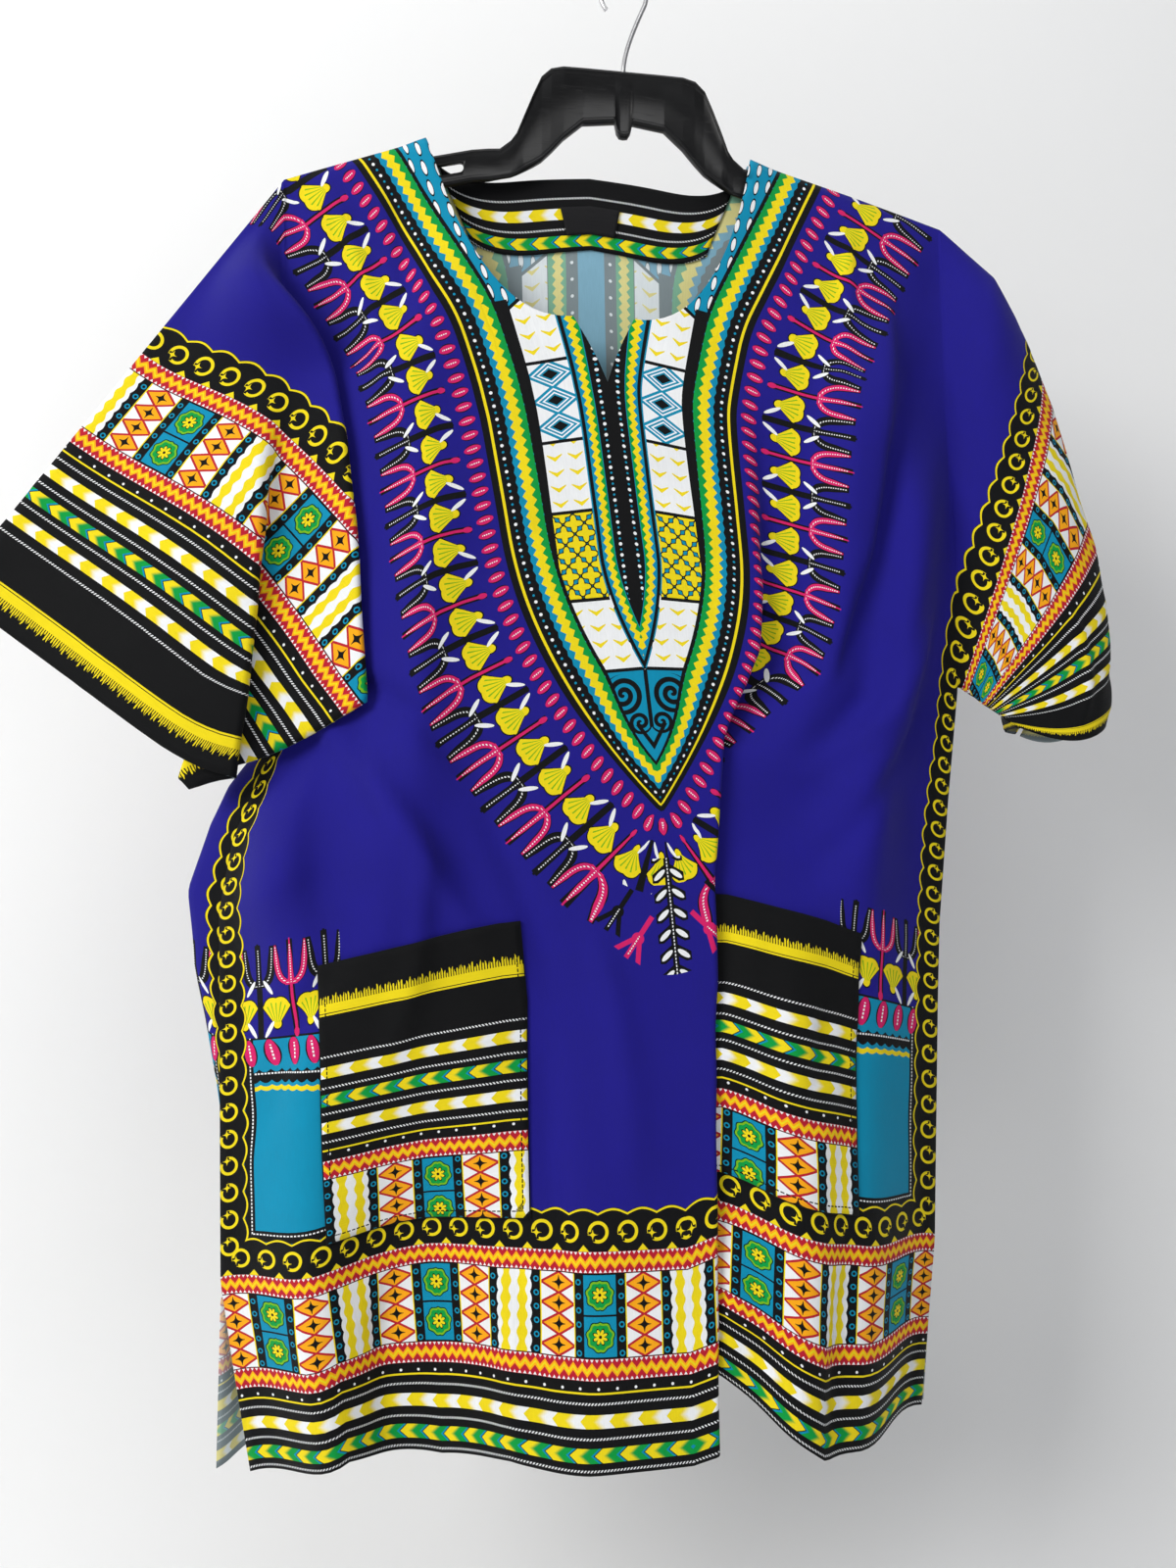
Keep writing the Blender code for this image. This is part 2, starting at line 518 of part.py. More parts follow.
def body_levels(front):
    length = FRONT_LENGTH if front else BACK_LENGTH
    upper = ARMHOLE_DEPTH * ARM_ROWS
    if not front:
        return np.concatenate([upper, np.linspace(ARMHOLE_DEPTH, length, BACK_ROWS + 1)[1:]])
    middle = np.linspace(ARMHOLE_DEPTH, POCKET_TOP, 8)[1:]
    pocket = np.linspace(POCKET_TOP, POCKET_FOOT, POCKET_ROWS + 1)[1:]
    return np.concatenate([upper, middle, pocket, np.linspace(POCKET_FOOT, length, 6)[1:]])


def grid(bm, flats, point):
    """A quad grid of cloth: flats[row][column] = (u, v); point(u, v) gives the places."""
    rows, columns = flats.shape[:2]
    places = point(flats[:, :, 0].ravel(), flats[:, :, 1].ravel())
    made = bmesh.ops.create_grid(bm, x_segments=columns - 1, y_segments=rows - 1, size=1.0)["verts"]
    made = sorted(made, key=lambda w: (round(-w.co.y, 6), round(w.co.x, 6)))
    for vertex, place in zip(made, places):
        vertex.co = place
    return made


def body_flats(front):
    counts_right = (7, 2, 5, 2, 0) if front else (5, 0, 0, 0, 10)
    counts_left = (7, 0, 0, 0, 0) if front else (5, 0, 0, 0, 10)
    rows = []
    for level in body_levels(front):
        left = -half_columns(level, False, front, counts_left)[::-1]
        right = half_columns(level, True, front, counts_right)
        across = np.concatenate([left, right[1:]])
        top = neck_edge(across, front)
        low = 0.36
        down = level + top * np.clip(1.0 - level / low, 0.0, 1.0)
        down = np.where(np.abs(across) <= NECK_HALF, down, level)
        side_top = np.where(np.abs(across) > NECK_HALF - 1e-6, 0.0, 1.0)
        down = level + (down - level) * side_top
        rows.append(np.stack([across, down], axis=1))
    return np.array(rows)


def sleeve_reach(angle):
    """Distance from the hanger's tip to the left sleeve's outline, at an angle from straight down the cut."""
    run, rise = CLOTH_HALF - BODY_HALF, CUFF_DEPTH - ARMHOLE_DEPTH
    if angle <= math.atan2(CLOTH_HALF - TIP_LEFT_U, CUFF_DEPTH) + 1e-9:
        foot = ARMHOLE_DEPTH - (BODY_HALF - TIP_LEFT_U) * rise / run
        return foot / (math.cos(angle) - math.sin(angle) * rise / run)
    return (CLOTH_HALF - TIP_LEFT_U) / math.sin(angle)


def sleeve_stops(r):
    """Where the left sleeve's turns start and end at a distance from the tip, and the columns before each."""
    second, strand, seat = sleeve_fold_places(r)
    return (
        (SLEEVE_BEND, 5), (second, 1), (second + SLEEVE_BEND, 5), (seat, 3), (seat + SLEEVE_BEND, 5),
        (seat + SLEEVE_BEND + strand, 1), (seat + 2.0 * SLEEVE_BEND + strand, 5),
    )


def left_sleeve_flats(front):
    """The left sleeve's fan, from the fold line out to the shoulder edge."""
    first = math.atan2(BODY_HALF - TIP_LEFT_U, ARMHOLE_DEPTH)
    rows = []
    for share in ARM_ROWS:
        angles = [first]
        for k in range(7):
            angle = first + 0.4
            for _ in range(30):
                r = max(share, 0.27) * sleeve_reach(min(angle, math.pi / 2.0))
                place, columns = sleeve_stops(r)[k]
                angle = first + float(place) / r
            left = math.pi / 2.0 - 0.02 * (7 - k)
            angle = max(min(angle, left), angles[-1] + 0.002 * columns)
            angles += list(np.linspace(angles[-1], angle, columns + 1)[1:])
        angles += list(np.linspace(angles[-1], math.pi / 2.0, 8)[1:])
        cells = []
        for angle in angles:
            far = sleeve_reach(angle)
            cells.append((-TIP_LEFT_U - share * far * math.sin(angle), share * far * math.cos(angle)))
        rows.append(cells)
    return np.array(rows)


def right_sleeve_flats(front):
    """The right sleeve's columns, from the tip of the hanger to the cuff, each from shoulder to underarm."""
    inner = TIP_RIGHT_U + (BODY_HALF - TIP_RIGHT_U) * ARM_ROWS
    outer = np.linspace(BODY_HALF, CLOTH_HALF, 12)[1:]
    rows = []
    for u in np.concatenate([inner, outer]):
        if u <= BODY_HALF:
            foot = (u - TIP_RIGHT_U) / (BODY_HALF - TIP_RIGHT_U) * ARMHOLE_DEPTH
        else:
            foot = ARMHOLE_DEPTH + (CUFF_DEPTH - ARMHOLE_DEPTH) * (u - BODY_HALF) / (CLOTH_HALF - BODY_HALF)
        split = max(float(column(RIGHT_SLEEVE, u)), 0.12 * foot) if front else foot * 0.18
        levels = np.concatenate([np.linspace(0.0, split, 3), np.linspace(split, foot, 11)[1:]])
        rows.append([(u, v) for v in levels[::-1]])
    return np.array(rows)


def finish_object(name, bm, colour, rough, thickness=None, metal=0.0):
    """Makes the object, its wall and its material."""
    mesh = bpy.data.meshes.new(name)
    bm.to_mesh(mesh)
    bm.free()
    part = bpy.data.objects.new(name, mesh)
    bpy.context.collection.objects.link(part)
    if thickness:
        wall = part.modifiers.new("wall", "SOLIDIFY")
        wall.thickness = thickness
        wall.offset = 0.0
        wall.use_even_offset = False
    material = bpy.data.materials.new(name)
    material.use_nodes = True
    shader = material.node_tree.nodes["Principled BSDF"]
    shader.inputs["Base Color"].default_value = colour
    shader.inputs["Roughness"].default_value = rough
    shader.inputs["Metallic"].default_value = metal
    part.data.materials.append(material)
    return part


BLUE = (0.012, 0.010, 0.240, 1.0)
TEAL = (0.000, 0.260, 0.450, 1.0)
PALE = (0.120, 0.500, 0.620, 1.0)
BLACK = (0.012, 0.012, 0.013, 1.0)
STEEL = (0.60, 0.60, 0.61, 1.0)


def build_panel(front):
    bm = bmesh.new()
    grid(bm, body_flats(front), lambda u, v: cloth_point(u, v, front))
    grid(bm, left_sleeve_flats(front), lambda u, v: cloth_point(u, v, front))
    grid(bm, right_sleeve_flats(front), lambda u, v: cloth_point(u, v, front))
    bmesh.ops.remove_doubles(bm, verts=bm.verts, dist=0.00005)
    bmesh.ops.dissolve_degenerate(bm, dist=0.00005, edges=bm.edges)
    bmesh.ops.triangulate(bm, faces=bm.faces, quad_method="FIXED")
    bmesh.ops.recalc_face_normals(bm, faces=bm.faces)
    name = "front_panel" if front else "back_panel"
    return finish_object(name, bm, BLUE, 0.85, WALL)


def moved_out(flats, lift, front):
    """Panel points, moved out along the panel's normal; a negative lift goes inside."""
    u, v = flats[:, :, 0].ravel(), flats[:, :, 1].ravel()
    small = 0.0008
    here = cloth_point(u, v, front)
    du = cloth_point(u + small, v, front) - cloth_point(u - small, v, front)
    dv = cloth_point(u, v + small, front) - cloth_point(u, v - small, front)
    normal = np.cross(du, dv)
    normal = normal / np.linalg.norm(normal, axis=1)[:, None]
    if front:
        normal = -normal
    return here + normal * lift


def build_patch(name, flats, lift, front, colour):
    """A piece lying on a panel, made of the panel's own points."""
    bm = bmesh.new()
    places = moved_out(flats, lift, front)
    grid(bm, flats, lambda u, v: places)
    bmesh.ops.triangulate(bm, faces=bm.faces, quad_method="FIXED")
    bmesh.ops.recalc_face_normals(bm, faces=bm.faces)
    return finish_object(name, bm, colour, 0.85, WALL)


def pocket_flats(left):
    """The panel's own rows and columns under one pocket."""
    rows = []
    for level, row in zip(body_levels(True), body_flats(True)):
        if POCKET_TOP - 1e-6 <= level <= POCKET_FOOT + 1e-6:
            side = -row[:, 0] if left else row[:, 0]
            rows.append(row[(side > POCKET_IN - 1e-6) & (side < POCKET_OUT + 1e-6)])
    return np.array(rows)


def build_label():
    """A small bare tab sewn inside the back neck, within one cell of the facing's middle."""
    back = body_flats(False)
    middle = int(np.argmin(np.abs(back[0, :, 0])))
    cell = back[2:4, middle - 1:middle + 2]
    places = moved_out(cell, -FACING_LIFT - LABEL_LIFT, False).reshape(2, 3, 3)
    rows = []
    for down in (0.05, 0.75):
        row = []
        for across in (-0.42, 0.0, 0.42):
            k = 0 if across < 0.0 else 1
            share = across + 1.0 if across < 0.0 else across
            top = places[0, k] * (1.0 - share) + places[0, k + 1] * share
            foot = places[1, k] * (1.0 - share) + places[1, k + 1] * share
            row.append(top * (1.0 - down) + foot * down)
        rows.append(row)
    bm = bmesh.new()
    flats = np.zeros((2, 3, 2))
    grid(bm, flats, lambda u, v: np.array(rows).reshape(-1, 3))
    bmesh.ops.recalc_face_normals(bm, faces=bm.faces)
    return finish_object("neck_label", bm, (0.35, 0.22, 0.12, 1.0), 0.7, LABEL_WALL)


def ring_loft(bm, rings):
    """A closed solid through rings of equal length, capped at both ends."""
    made = [[bm.verts.new(p) for p in ring] for ring in rings]
    count = len(made[0])
    for a, b in zip(made[:-1], made[1:]):
        for k in range(count):
            n = (k + 1) % count
            bm.faces.new((a[k], a[n], b[n], b[k]))
    bm.faces.new(made[0][::-1])
    bm.faces.new(made[-1])
    bmesh.ops.recalc_face_normals(bm, faces=bm.faces)


def build_hanger():
    """The moulded hanger: a broad plate in the middle, an arm to each side, a collar for the hook."""
    stations = [row[0] for row in HANGER_PROFILE]
    places = sorted(set([-x for x in stations] + stations))
    rings = []
    for x in places:
        top = float(column(HANGER_PROFILE, abs(x), 1)) - HANGER_TILT * x
        foot = float(column(HANGER_PROFILE, abs(x), 2)) - HANGER_TILT * x
        half = float(column(HANGER_PROFILE, abs(x), 3))
        deep = min(0.0060, (top - foot) * 0.4)
        ring = [
            (0.25 * half, top), (0.72 * half, top - 0.45 * deep), (half, top - deep),
            (half, foot + 0.5 * deep), (0.4 * half, foot),
        ]
        rings.append([(x, y, z) for y, z in ring] + [(x, -y, z) for y, z in reversed(ring)])
    bm = bmesh.new()
    ring_loft(bm, rings)
    part = finish_object("hanger_body", bm, BLACK, 0.38)
    cutters = []
    for side in (-1.0, 1.0):
        for place, size in SLOTS:
            cutter = bmesh.new()
            bmesh.ops.create_cube(cutter, size=1.0)
            for vertex in cutter.verts:
                x = place[0] * side + vertex.co.x * size[0]
                lean = -(x - place[0] * side) * (0.27 * side + HANGER_TILT)
                z = place[1] - HANGER_TILT * x + vertex.co.z * size[2] + lean
                vertex.co = (x, vertex.co.y * size[1], z)
            cutters.append(finish_object("slot", cutter, BLACK, 0.4))
    for cutter in cutters:
        cut = part.modifiers.new("slot", "BOOLEAN")
        cut.operation = "DIFFERENCE"
        cut.solver = "EXACT"
        cut.object = cutter
    graph = bpy.context.evaluated_depsgraph_get()
    shaped = bpy.data.meshes.new_from_object(part.evaluated_get(graph))
    part.modifiers.clear()
    part.data = shaped
    for cutter in cutters:
        bpy.data.objects.remove(cutter, do_unlink=True)
    return part


def build_hook():
    """The steel wire hook, from the plate up and over the rail."""
    centre = (0.0, -HOOK_INNER)
    radius = HOOK_INNER + WIRE_RADIUS
    path = []
    start = (0.0, HOOK_FOOT)
    join_angle = math.radians(-22.0)
    join = (centre[0] + radius * math.cos(join_angle), centre[1] + radius * math.sin(join_angle))
    for k in range(8):
        s = k / 8.0
        h = (2 * s**3 - 3 * s**2 + 1, s**3 - 2 * s**2 + s, -2 * s**3 + 3 * s**2, s**3 - s**2)
        x = h[0] * start[0] + h[1] * 0.0 + h[2] * join[0] + h[3] * 0.020
        z = h[0] * start[1] + h[1] * 0.045 + h[2] * join[1] + h[3] * 0.045
        path.append((x, z))
    for k in range(25):
        angle = join_angle + (math.radians(222.0) - join_angle) * k / 24.0
        path.append((centre[0] + radius * math.cos(angle), centre[1] + radius * math.sin(angle)))
    rings = []
    for k, (x, z) in enumerate(path):
        a, b = path[max(k - 1, 0)], path[min(k + 1, len(path) - 1)]
        length = math.hypot(b[0] - a[0], b[1] - a[1])
        nx, nz = (b[1] - a[1]) / length, -(b[0] - a[0]) / length
        ring = []
        for m in range(10):
            turn = 2.0 * math.pi * m / 10.0
            out = WIRE_RADIUS * math.cos(turn)
            ring.append((x + nx * out, WIRE_RADIUS * math.sin(turn), z + nz * out))
        rings.append(ring)
    bm = bmesh.new()
    ring_loft(bm, rings)
    return finish_object("hanger_hook", bm, STEEL, 0.28, None, 1.0)


for old in list(bpy.data.objects):
    bpy.data.objects.remove(old, do_unlink=True)

build_panel(True)
build_panel(False)
build_patch("pocket_left", pocket_flats(True), POCKET_LIFT, True, TEAL)
build_patch("pocket_right", pocket_flats(False), POCKET_LIFT, True, TEAL)
back = body_flats(False)
inside = np.abs(back[0, :, 0]) < NECK_HALF - 0.004
build_patch("neck_facing", back[:4, inside], -FACING_LIFT, False, PALE)
build_label()
build_hanger()
build_hook()
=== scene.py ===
"""A printed cotton dashiki shirt on a moulded hanger, dressed over its solids.

Metres, X to the viewer's right, Y away from the viewer, Z up. A cloth point is named by its place on the
flat cut: u across from the centre line, negative to the viewer's left, and v down from the shoulder edge.
"""

import math

import bmesh
import bpy
import numpy as np
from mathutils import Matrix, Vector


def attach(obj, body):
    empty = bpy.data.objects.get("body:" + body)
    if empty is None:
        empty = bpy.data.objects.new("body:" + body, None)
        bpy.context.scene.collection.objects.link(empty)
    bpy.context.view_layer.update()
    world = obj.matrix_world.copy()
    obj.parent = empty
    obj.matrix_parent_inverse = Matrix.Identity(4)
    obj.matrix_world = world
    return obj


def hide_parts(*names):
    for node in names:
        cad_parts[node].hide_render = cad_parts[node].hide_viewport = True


bl_info = {
    "name": "Dashiki shirt on hanger",
    "version": (1, 0, 0),
    "blender": (4, 5, 0),
    "location": "View3D > Sidebar > Dashiki",
    "description": "Dresses a dashiki shirt and its hanger over their solids",
    "category": "Object",
}

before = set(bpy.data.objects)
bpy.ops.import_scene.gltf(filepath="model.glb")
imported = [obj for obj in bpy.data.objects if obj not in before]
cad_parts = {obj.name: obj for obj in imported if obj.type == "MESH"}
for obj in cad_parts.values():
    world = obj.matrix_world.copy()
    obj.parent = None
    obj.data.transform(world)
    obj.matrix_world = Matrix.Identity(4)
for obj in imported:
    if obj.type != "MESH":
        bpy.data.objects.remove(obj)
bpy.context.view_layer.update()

# ---- the flat cut ----
BODY_HALF = 0.327  # centre line to side seam
CLOTH_HALF = 0.536  # centre line to cuff
CUFF_DEPTH = 0.270  # shoulder edge to underarm seam at the cuff
ARMHOLE_DEPTH = 0.315  # the same at the body
FRONT_LENGTH = 0.912
BACK_LENGTH = 0.930
SLIT_TOP = 0.785  # where the side seams end
NECK_HALF = 0.069
NECK_DROP = 0.148
NOTCH_HALF = 0.012
NOTCH_FOOT = 0.197
BACK_NECK_DROP = 0.037
WALL = 0.0012
SEAM_GAP = 0.0003
LAYER_HALF = 0.0012  # half the distance between a sleeve's two layers
SEAM_HALF = (WALL + SEAM_GAP) * 0.5
POCKET_LIFT = 0.0015
FACING_LIFT = 0.0015

# ---- where the cloth hangs ----
TIP_LEFT = (-0.2415, -0.165)
TIP_LEFT_U = 0.178  # the cut's place on the left tip of the hanger
TIP_RIGHT_U = 0.223
TOP_Z = -0.108  # the centre line carried up to the shoulder edge
OPEN_SLOPE = 0.25  # how the two sides of the neck fall apart
# half the distance between the layers over the hanger, by the drop from the shoulder edge
SHOULDER_V = (0.0, 0.006, 0.030, 0.11)
SHOULDER_Y = ((WALL + SEAM_GAP) * 0.5, 0.0044, 0.0072, 0.012)

# the hanger: distance from the middle, top, foot, half thickness
HANGER_PROFILE = (
    (0.000, -0.0710, -0.1195, 0.0036), (0.003, -0.0710, -0.1190, 0.0036), (0.0050, -0.0710, -0.1160, 0.0036),
    (0.0064, -0.0710, -0.1090, 0.0036),
    (0.030, -0.0710, -0.1120, 0.0036), (0.044, -0.0712, -0.1240, 0.0036), (0.053, -0.0735, -0.1340, 0.0036),
    (0.060, -0.0800, -0.1410, 0.0036), (0.066, -0.0930, -0.1450, 0.0036), (0.073, -0.1100, -0.1490, 0.0036),
    (0.078, -0.1220, -0.1520, 0.0024), (0.082, -0.1275, -0.1540, 0.0018), (0.090, -0.1340, -0.1560, 0.0018),
    (0.098, -0.1350, -0.1580, 0.0026), (0.110, -0.1370, -0.1600, 0.0033),
    (0.130, -0.1420, -0.1650, 0.0028), (0.148, -0.1465, -0.1690, 0.0028),
    (0.180, -0.1553, -0.1770, 0.0033), (0.210, -0.1636, -0.1830, 0.0026),
    (0.226, -0.1682, -0.1840, 0.0015), (0.231, -0.1710, -0.1800, 0.0006),
)
HANGER_TILT = 0.018  # drop to the right of the whole hanger
# the slots through its arms: place from the middle, size
SLOTS = (((0.1290, -0.1530), (0.026, 0.05, 0.0075)), ((0.1850, -0.1680), (0.020, 0.05, 0.0070)))
HOOK_INNER = 0.0150
WIRE_RADIUS = 0.00175
HOOK_FOOT = -0.0700
LABEL_LIFT = 0.0012

# v, sideways place of the centre line
CENTRE_X = ((0.0, -0.0245), (0.197, -0.0150), (0.397, 0.009), (0.49, 0.019), (0.62, 0.029), (0.94, 0.026))
BACK_CENTRE_X = ((0.0, -0.0245), (0.10, -0.022), (0.30, -0.018), (0.45, -0.024), (0.94, -0.018))
# v, depth of the front's centre line
FRONT_Y = (
    (0.0, -0.006), (0.10, -0.016), (0.20, -0.024), (0.30, -0.030), (0.40, -0.037),
    (0.50, -0.045), (0.62, -0.060), (0.75, -0.084), (0.94, -0.124),
)
BACK_Y = ((0.0, 0.007), (0.06, 0.012), (0.30, 0.020), (0.60, 0.018), (0.94, 0.012))
# drop below the centre line, by v, at the places across that follow
DROP_U_LEFT = (0.0, 0.067, 0.120, TIP_LEFT_U, 0.250, BODY_HALF)
DROP_U_RIGHT = (0.0, 0.067, 0.150, TIP_RIGHT_U, BODY_HALF)
DROP_LEFT = (
    (0.0, 0.0, 0.022, 0.0387, 0.057, 0.057, 0.057), (ARMHOLE_DEPTH, 0.0, 0.008, 0.018, 0.036, 0.063, 0.092),
    (0.60, 0.004, 0.006, 0.010, 0.019, 0.033, 0.050), (0.80, 0.006, 0.006, 0.008, 0.010, 0.018, 0.034),
    (0.94, 0.003, 0.006, 0.004, 0.013, 0.002, 0.028),
)
DROP_RIGHT = (
    (0.0, 0.0, 0.022, 0.0436, 0.064, 0.064), (ARMHOLE_DEPTH, 0.0, 0.008, 0.026, 0.048, 0.094),
    (0.60, 0.004, -0.012, -0.010, 0.008, 0.042), (0.80, 0.006, -0.016, -0.020, 0.006, 0.030),
    (0.94, 0.003, -0.011, -0.0525, 0.0023, 0.0115),
)
# v, place across of the left side edge, and its depth, front and back
LEFT_X = (
    (0.0, -0.2415), (ARMHOLE_DEPTH, -0.237), (0.351, -0.240), (0.39, -0.256), (0.449, -0.2754),
    (0.506, -0.2840), (0.625, -0.283), (0.785, -0.281), (0.84, -0.272), (0.94, -0.254),
)
LEFT_Y = ((0.0, 0.0), (ARMHOLE_DEPTH, -0.004), (0.60, -0.014), (0.785, -0.024), (0.94, -0.044))
LEFT_BACK_X = ((0.0, -0.2415), (0.785, -0.281), (0.94, -0.288))
LEFT_BACK_Y = ((0.785, -0.024), (0.94, -0.002))
RIGHT_X = (
    (0.0, 0.2415), (0.20, 0.2485), (ARMHOLE_DEPTH, 0.2530), (0.42, 0.244), (0.53, 0.2360),
    (0.785, 0.2280), (0.94, 0.206),
)
RIGHT_Y = ((0.0, 0.0), (ARMHOLE_DEPTH, -0.006), (0.60, -0.014), (0.785, -0.022), (0.94, -0.045))
RIGHT_BACK_X = ((0.785, 0.2280), (0.94, 0.227))
RIGHT_BACK_Y = ((0.785, -0.022), (0.94, -0.004))

# v, how far the back rounds out beyond the left seam
LEFT_BULGE = (
    (0.315, 0.0), (0.36, 0.011), (0.42, 0.029), (0.50, 0.039), (0.56, 0.036), (0.65, 0.024),
    (0.80, 0.012), (0.94, 0.005),
)
BULGE_CLOTH = 0.085

# the deep fold right of the centre: v, where it starts, length of its hidden strand, share of a full turn
DEEP_FOLD = (
    (0.18, 0.094, 0.003, 0.0), (0.26, 0.092, 0.005, 0.25), (0.33, 0.090, 0.007, 0.50),
    (0.38, 0.082, 0.009, 0.72), (0.41, 0.068, 0.020, 0.92), (0.45, 0.048, 0.034, 1.0),
    (0.55, 0.030, 0.044, 1.0), (0.65, 0.022, 0.050, 1.0), (0.94, 0.014, 0.058, 1.0),
)
FOLD_BEND = 0.0085  # cloth taken by each turn of that fold

# soft folds: side, u at the top, u at the foot, v at the top, v at the foot, width, steepest slope
FRONT_FOLDS = (
    (+1, 0.190, 0.178, 0.05, 0.50, 0.020, 0.72),
    (+1, 0.262, 0.240, 0.06, 0.62, 0.020, 0.72),
    (+1, 0.196, 0.215, 0.50, 1.10, 0.022, 0.66),
    (-1, 0.270, 0.290, 0.10, 0.60, 0.022, 0.95),
    (-1, 0.128, 0.215, 0.16, 0.66, 0.024, 0.30),
    (-1, 0.085, 0.120, 0.50, 0.95, 0.020, -0.16),
    (-1, 0.180, 0.190, 0.62, 1.15, 0.042, -0.26),
    (-1, 0.262, 0.265, 0.66, 1.15, 0.026, 0.30),
)
BACK_FOLDS = (
    (+1, 0.085, 0.095, 0.10, 1.05, 0.020, -0.62),
    (+1, 0.160, 0.155, 0.12, 1.15, 0.019, -0.75),
    (+1, 0.235, 0.225, 0.14, 1.15, 0.018, -0.75),
    (-1, 0.080, 0.070, 0.15, 1.10, 0.022, -0.45),
    (-1, 0.150, 0.150, 0.10, 1.00, 0.020, -0.55),
    (-1, 0.225, 0.220, 0.20, 1.15, 0.020, -0.60),
)
SECTION_STEPS = 240

# ---- the left sleeve, folded over the body from the tip of the hanger ----
SLEEVE_TOP_ANGLE = math.radians(37.3)  # its shoulder edge, out from straight down
FOLD_LINE_ANGLE = math.radians(-0.7)
SLEEVE_BEND = 0.0101  # cloth taken by each turn
# distance from the tip, cloth from the fold line to the second turn
SECOND_TURN = ((0.0, 0.012), (0.06, 0.024), (0.155, 0.044), (0.26, 0.054), (0.37, 0.060), (0.46, 0.062))
PLEAT_SEAT = math.radians(52.0)  # where on the cut the pleat starts
PLEAT_TOP = 0.15

# ---- the right sleeve ----
# u, cloth carried behind the outline, then outline x and z, then lower edge x and z
RIGHT_SLEEVE = (
    (0.223, 0.000, 0.2415, -0.1720, 0.2415, -0.1720),
    (0.265, 0.000, 0.2840, -0.2060, 0.2460, -0.3000),
    (0.290, 0.000, 0.3000, -0.2330, 0.2500, -0.3900),
    (0.308, 0.022, 0.3090, -0.2520, 0.2510, -0.4450),
    (0.327, 0.050, 0.3190, -0.2720, 0.2530, -0.5170),
    (0.345, 0.070, 0.3310, -0.3000, 0.2590, -0.5210),
    (0.370, 0.095, 0.3440, -0.3400, 0.2660, -0.5250),
    (0.396, 0.115, 0.3580, -0.3900, 0.2710, -0.5290),
    (0.430, 0.140, 0.3750, -0.4500, 0.2780, -0.5330),
    (0.470, 0.160, 0.3790, -0.4950, 0.2860, -0.5380),
    (0.511, 0.172, 0.3790, -0.5280, 0.2940, -0.5430),
    (0.536, 0.175, 0.3740, -0.5440, 0.3000, -0.5470),
)


def smooth(x):
    """0 below 0, 1 above 1, and an S between them."""
    x = np.clip(x, 0.0, 1.0)
    return x * x * (3.0 - 2.0 * x)


def column(rows, x, k=1):
    """Reads column k of a table at x, its first column, with straight runs between the rows."""
    columns = list(zip(*rows))
    return np.interp(x, columns[0], columns[k])


def fold_slope(folds, side, t, v):
    """The soft folds' share of a section's slope; a positive slope runs away from the viewer."""
    slope = np.zeros_like(t)
    for fold_side, u_top, u_foot, v_top, v_foot, width, steep in folds:
        along = (v - v_top) / (v_foot - v_top)
        middle = u_top + (u_foot - u_top) * np.clip(along, 0.0, 1.0)
        fade = smooth(along * 3.0) * smooth((1.0 - along) * 3.0)
        s = (t - middle) / width
        slope += np.where(side == fold_side, steep * fade * s * np.exp(0.5 * (1.0 - s * s)), 0.0)
    return slope


def deep_fold_slope(side, t, v):
    """The sharp fold: the cloth turns back under itself, runs its strand, and turns on again."""
    start, strand, turn = (column(DEEP_FOLD, v, k) for k in (1, 2, 3))
    there = np.clip((t - start) / FOLD_BEND, 0.0, 1.0)
    back = np.clip((t - start - FOLD_BEND - strand) / FOLD_BEND, 0.0, 1.0)
    return np.where(side > 0, math.pi * turn * (there - back), 0.0)


def section(u, v, front):
    """How far a cloth point lies from its centre line, across and in depth, along its level section."""
    side = np.where(u < 0.0, -1.0, 1.0)[:, None]
    t = np.abs(u)[:, None] * np.linspace(0.0, 1.0, SECTION_STEPS + 1)[None, :]
    level = np.broadcast_to(v[:, None], t.shape)
    slope = fold_slope(FRONT_FOLDS if front else BACK_FOLDS, side, t, level)
    if front:
        slope += deep_fold_slope(side, t, level)
        sweep = smooth((level - 0.55) / 0.35) * smooth((t - 0.05) / 0.05) * (1.0 - smooth((t - 0.13) / 0.10))
        slope += np.where(side < 0, 0.42 * sweep, 0.0)
    step = np.abs(u) / SECTION_STEPS
    across = (np.cos(slope[:, 1:]) + np.cos(slope[:, :-1])) * 0.5
    depth = (np.sin(slope[:, 1:]) + np.sin(slope[:, :-1])) * 0.5
    return side[:, 0] * across.sum(axis=1) * step, depth.sum(axis=1) * step


def drop(u, v):
    """How far below its centre line a point hangs."""
    result = np.zeros_like(u)
    for rows, stations, mask in ((DROP_LEFT, DROP_U_LEFT, u < 0), (DROP_RIGHT, DROP_U_RIGHT, u >= 0)):
        values = [column(rows, v, k + 1) for k in range(len(stations))]
        value = values[0].copy()
        for k in range(len(stations) - 1):
            share = np.clip((np.abs(u) - stations[k]) / (stations[k + 1] - stations[k]), 0.0, 1.0)
            value = value + (values[k + 1] - values[k]) * share
        result = np.where(mask, value, result)
    return result


def edge_place(v, left):
    """The body's edge on the cut: from the hanger's tip to the underarm, then down the side seam."""
    tip = TIP_LEFT_U if left else TIP_RIGHT_U
    return tip + (BODY_HALF - tip) * np.clip(v / ARMHOLE_DEPTH, 0.0, 1.0)


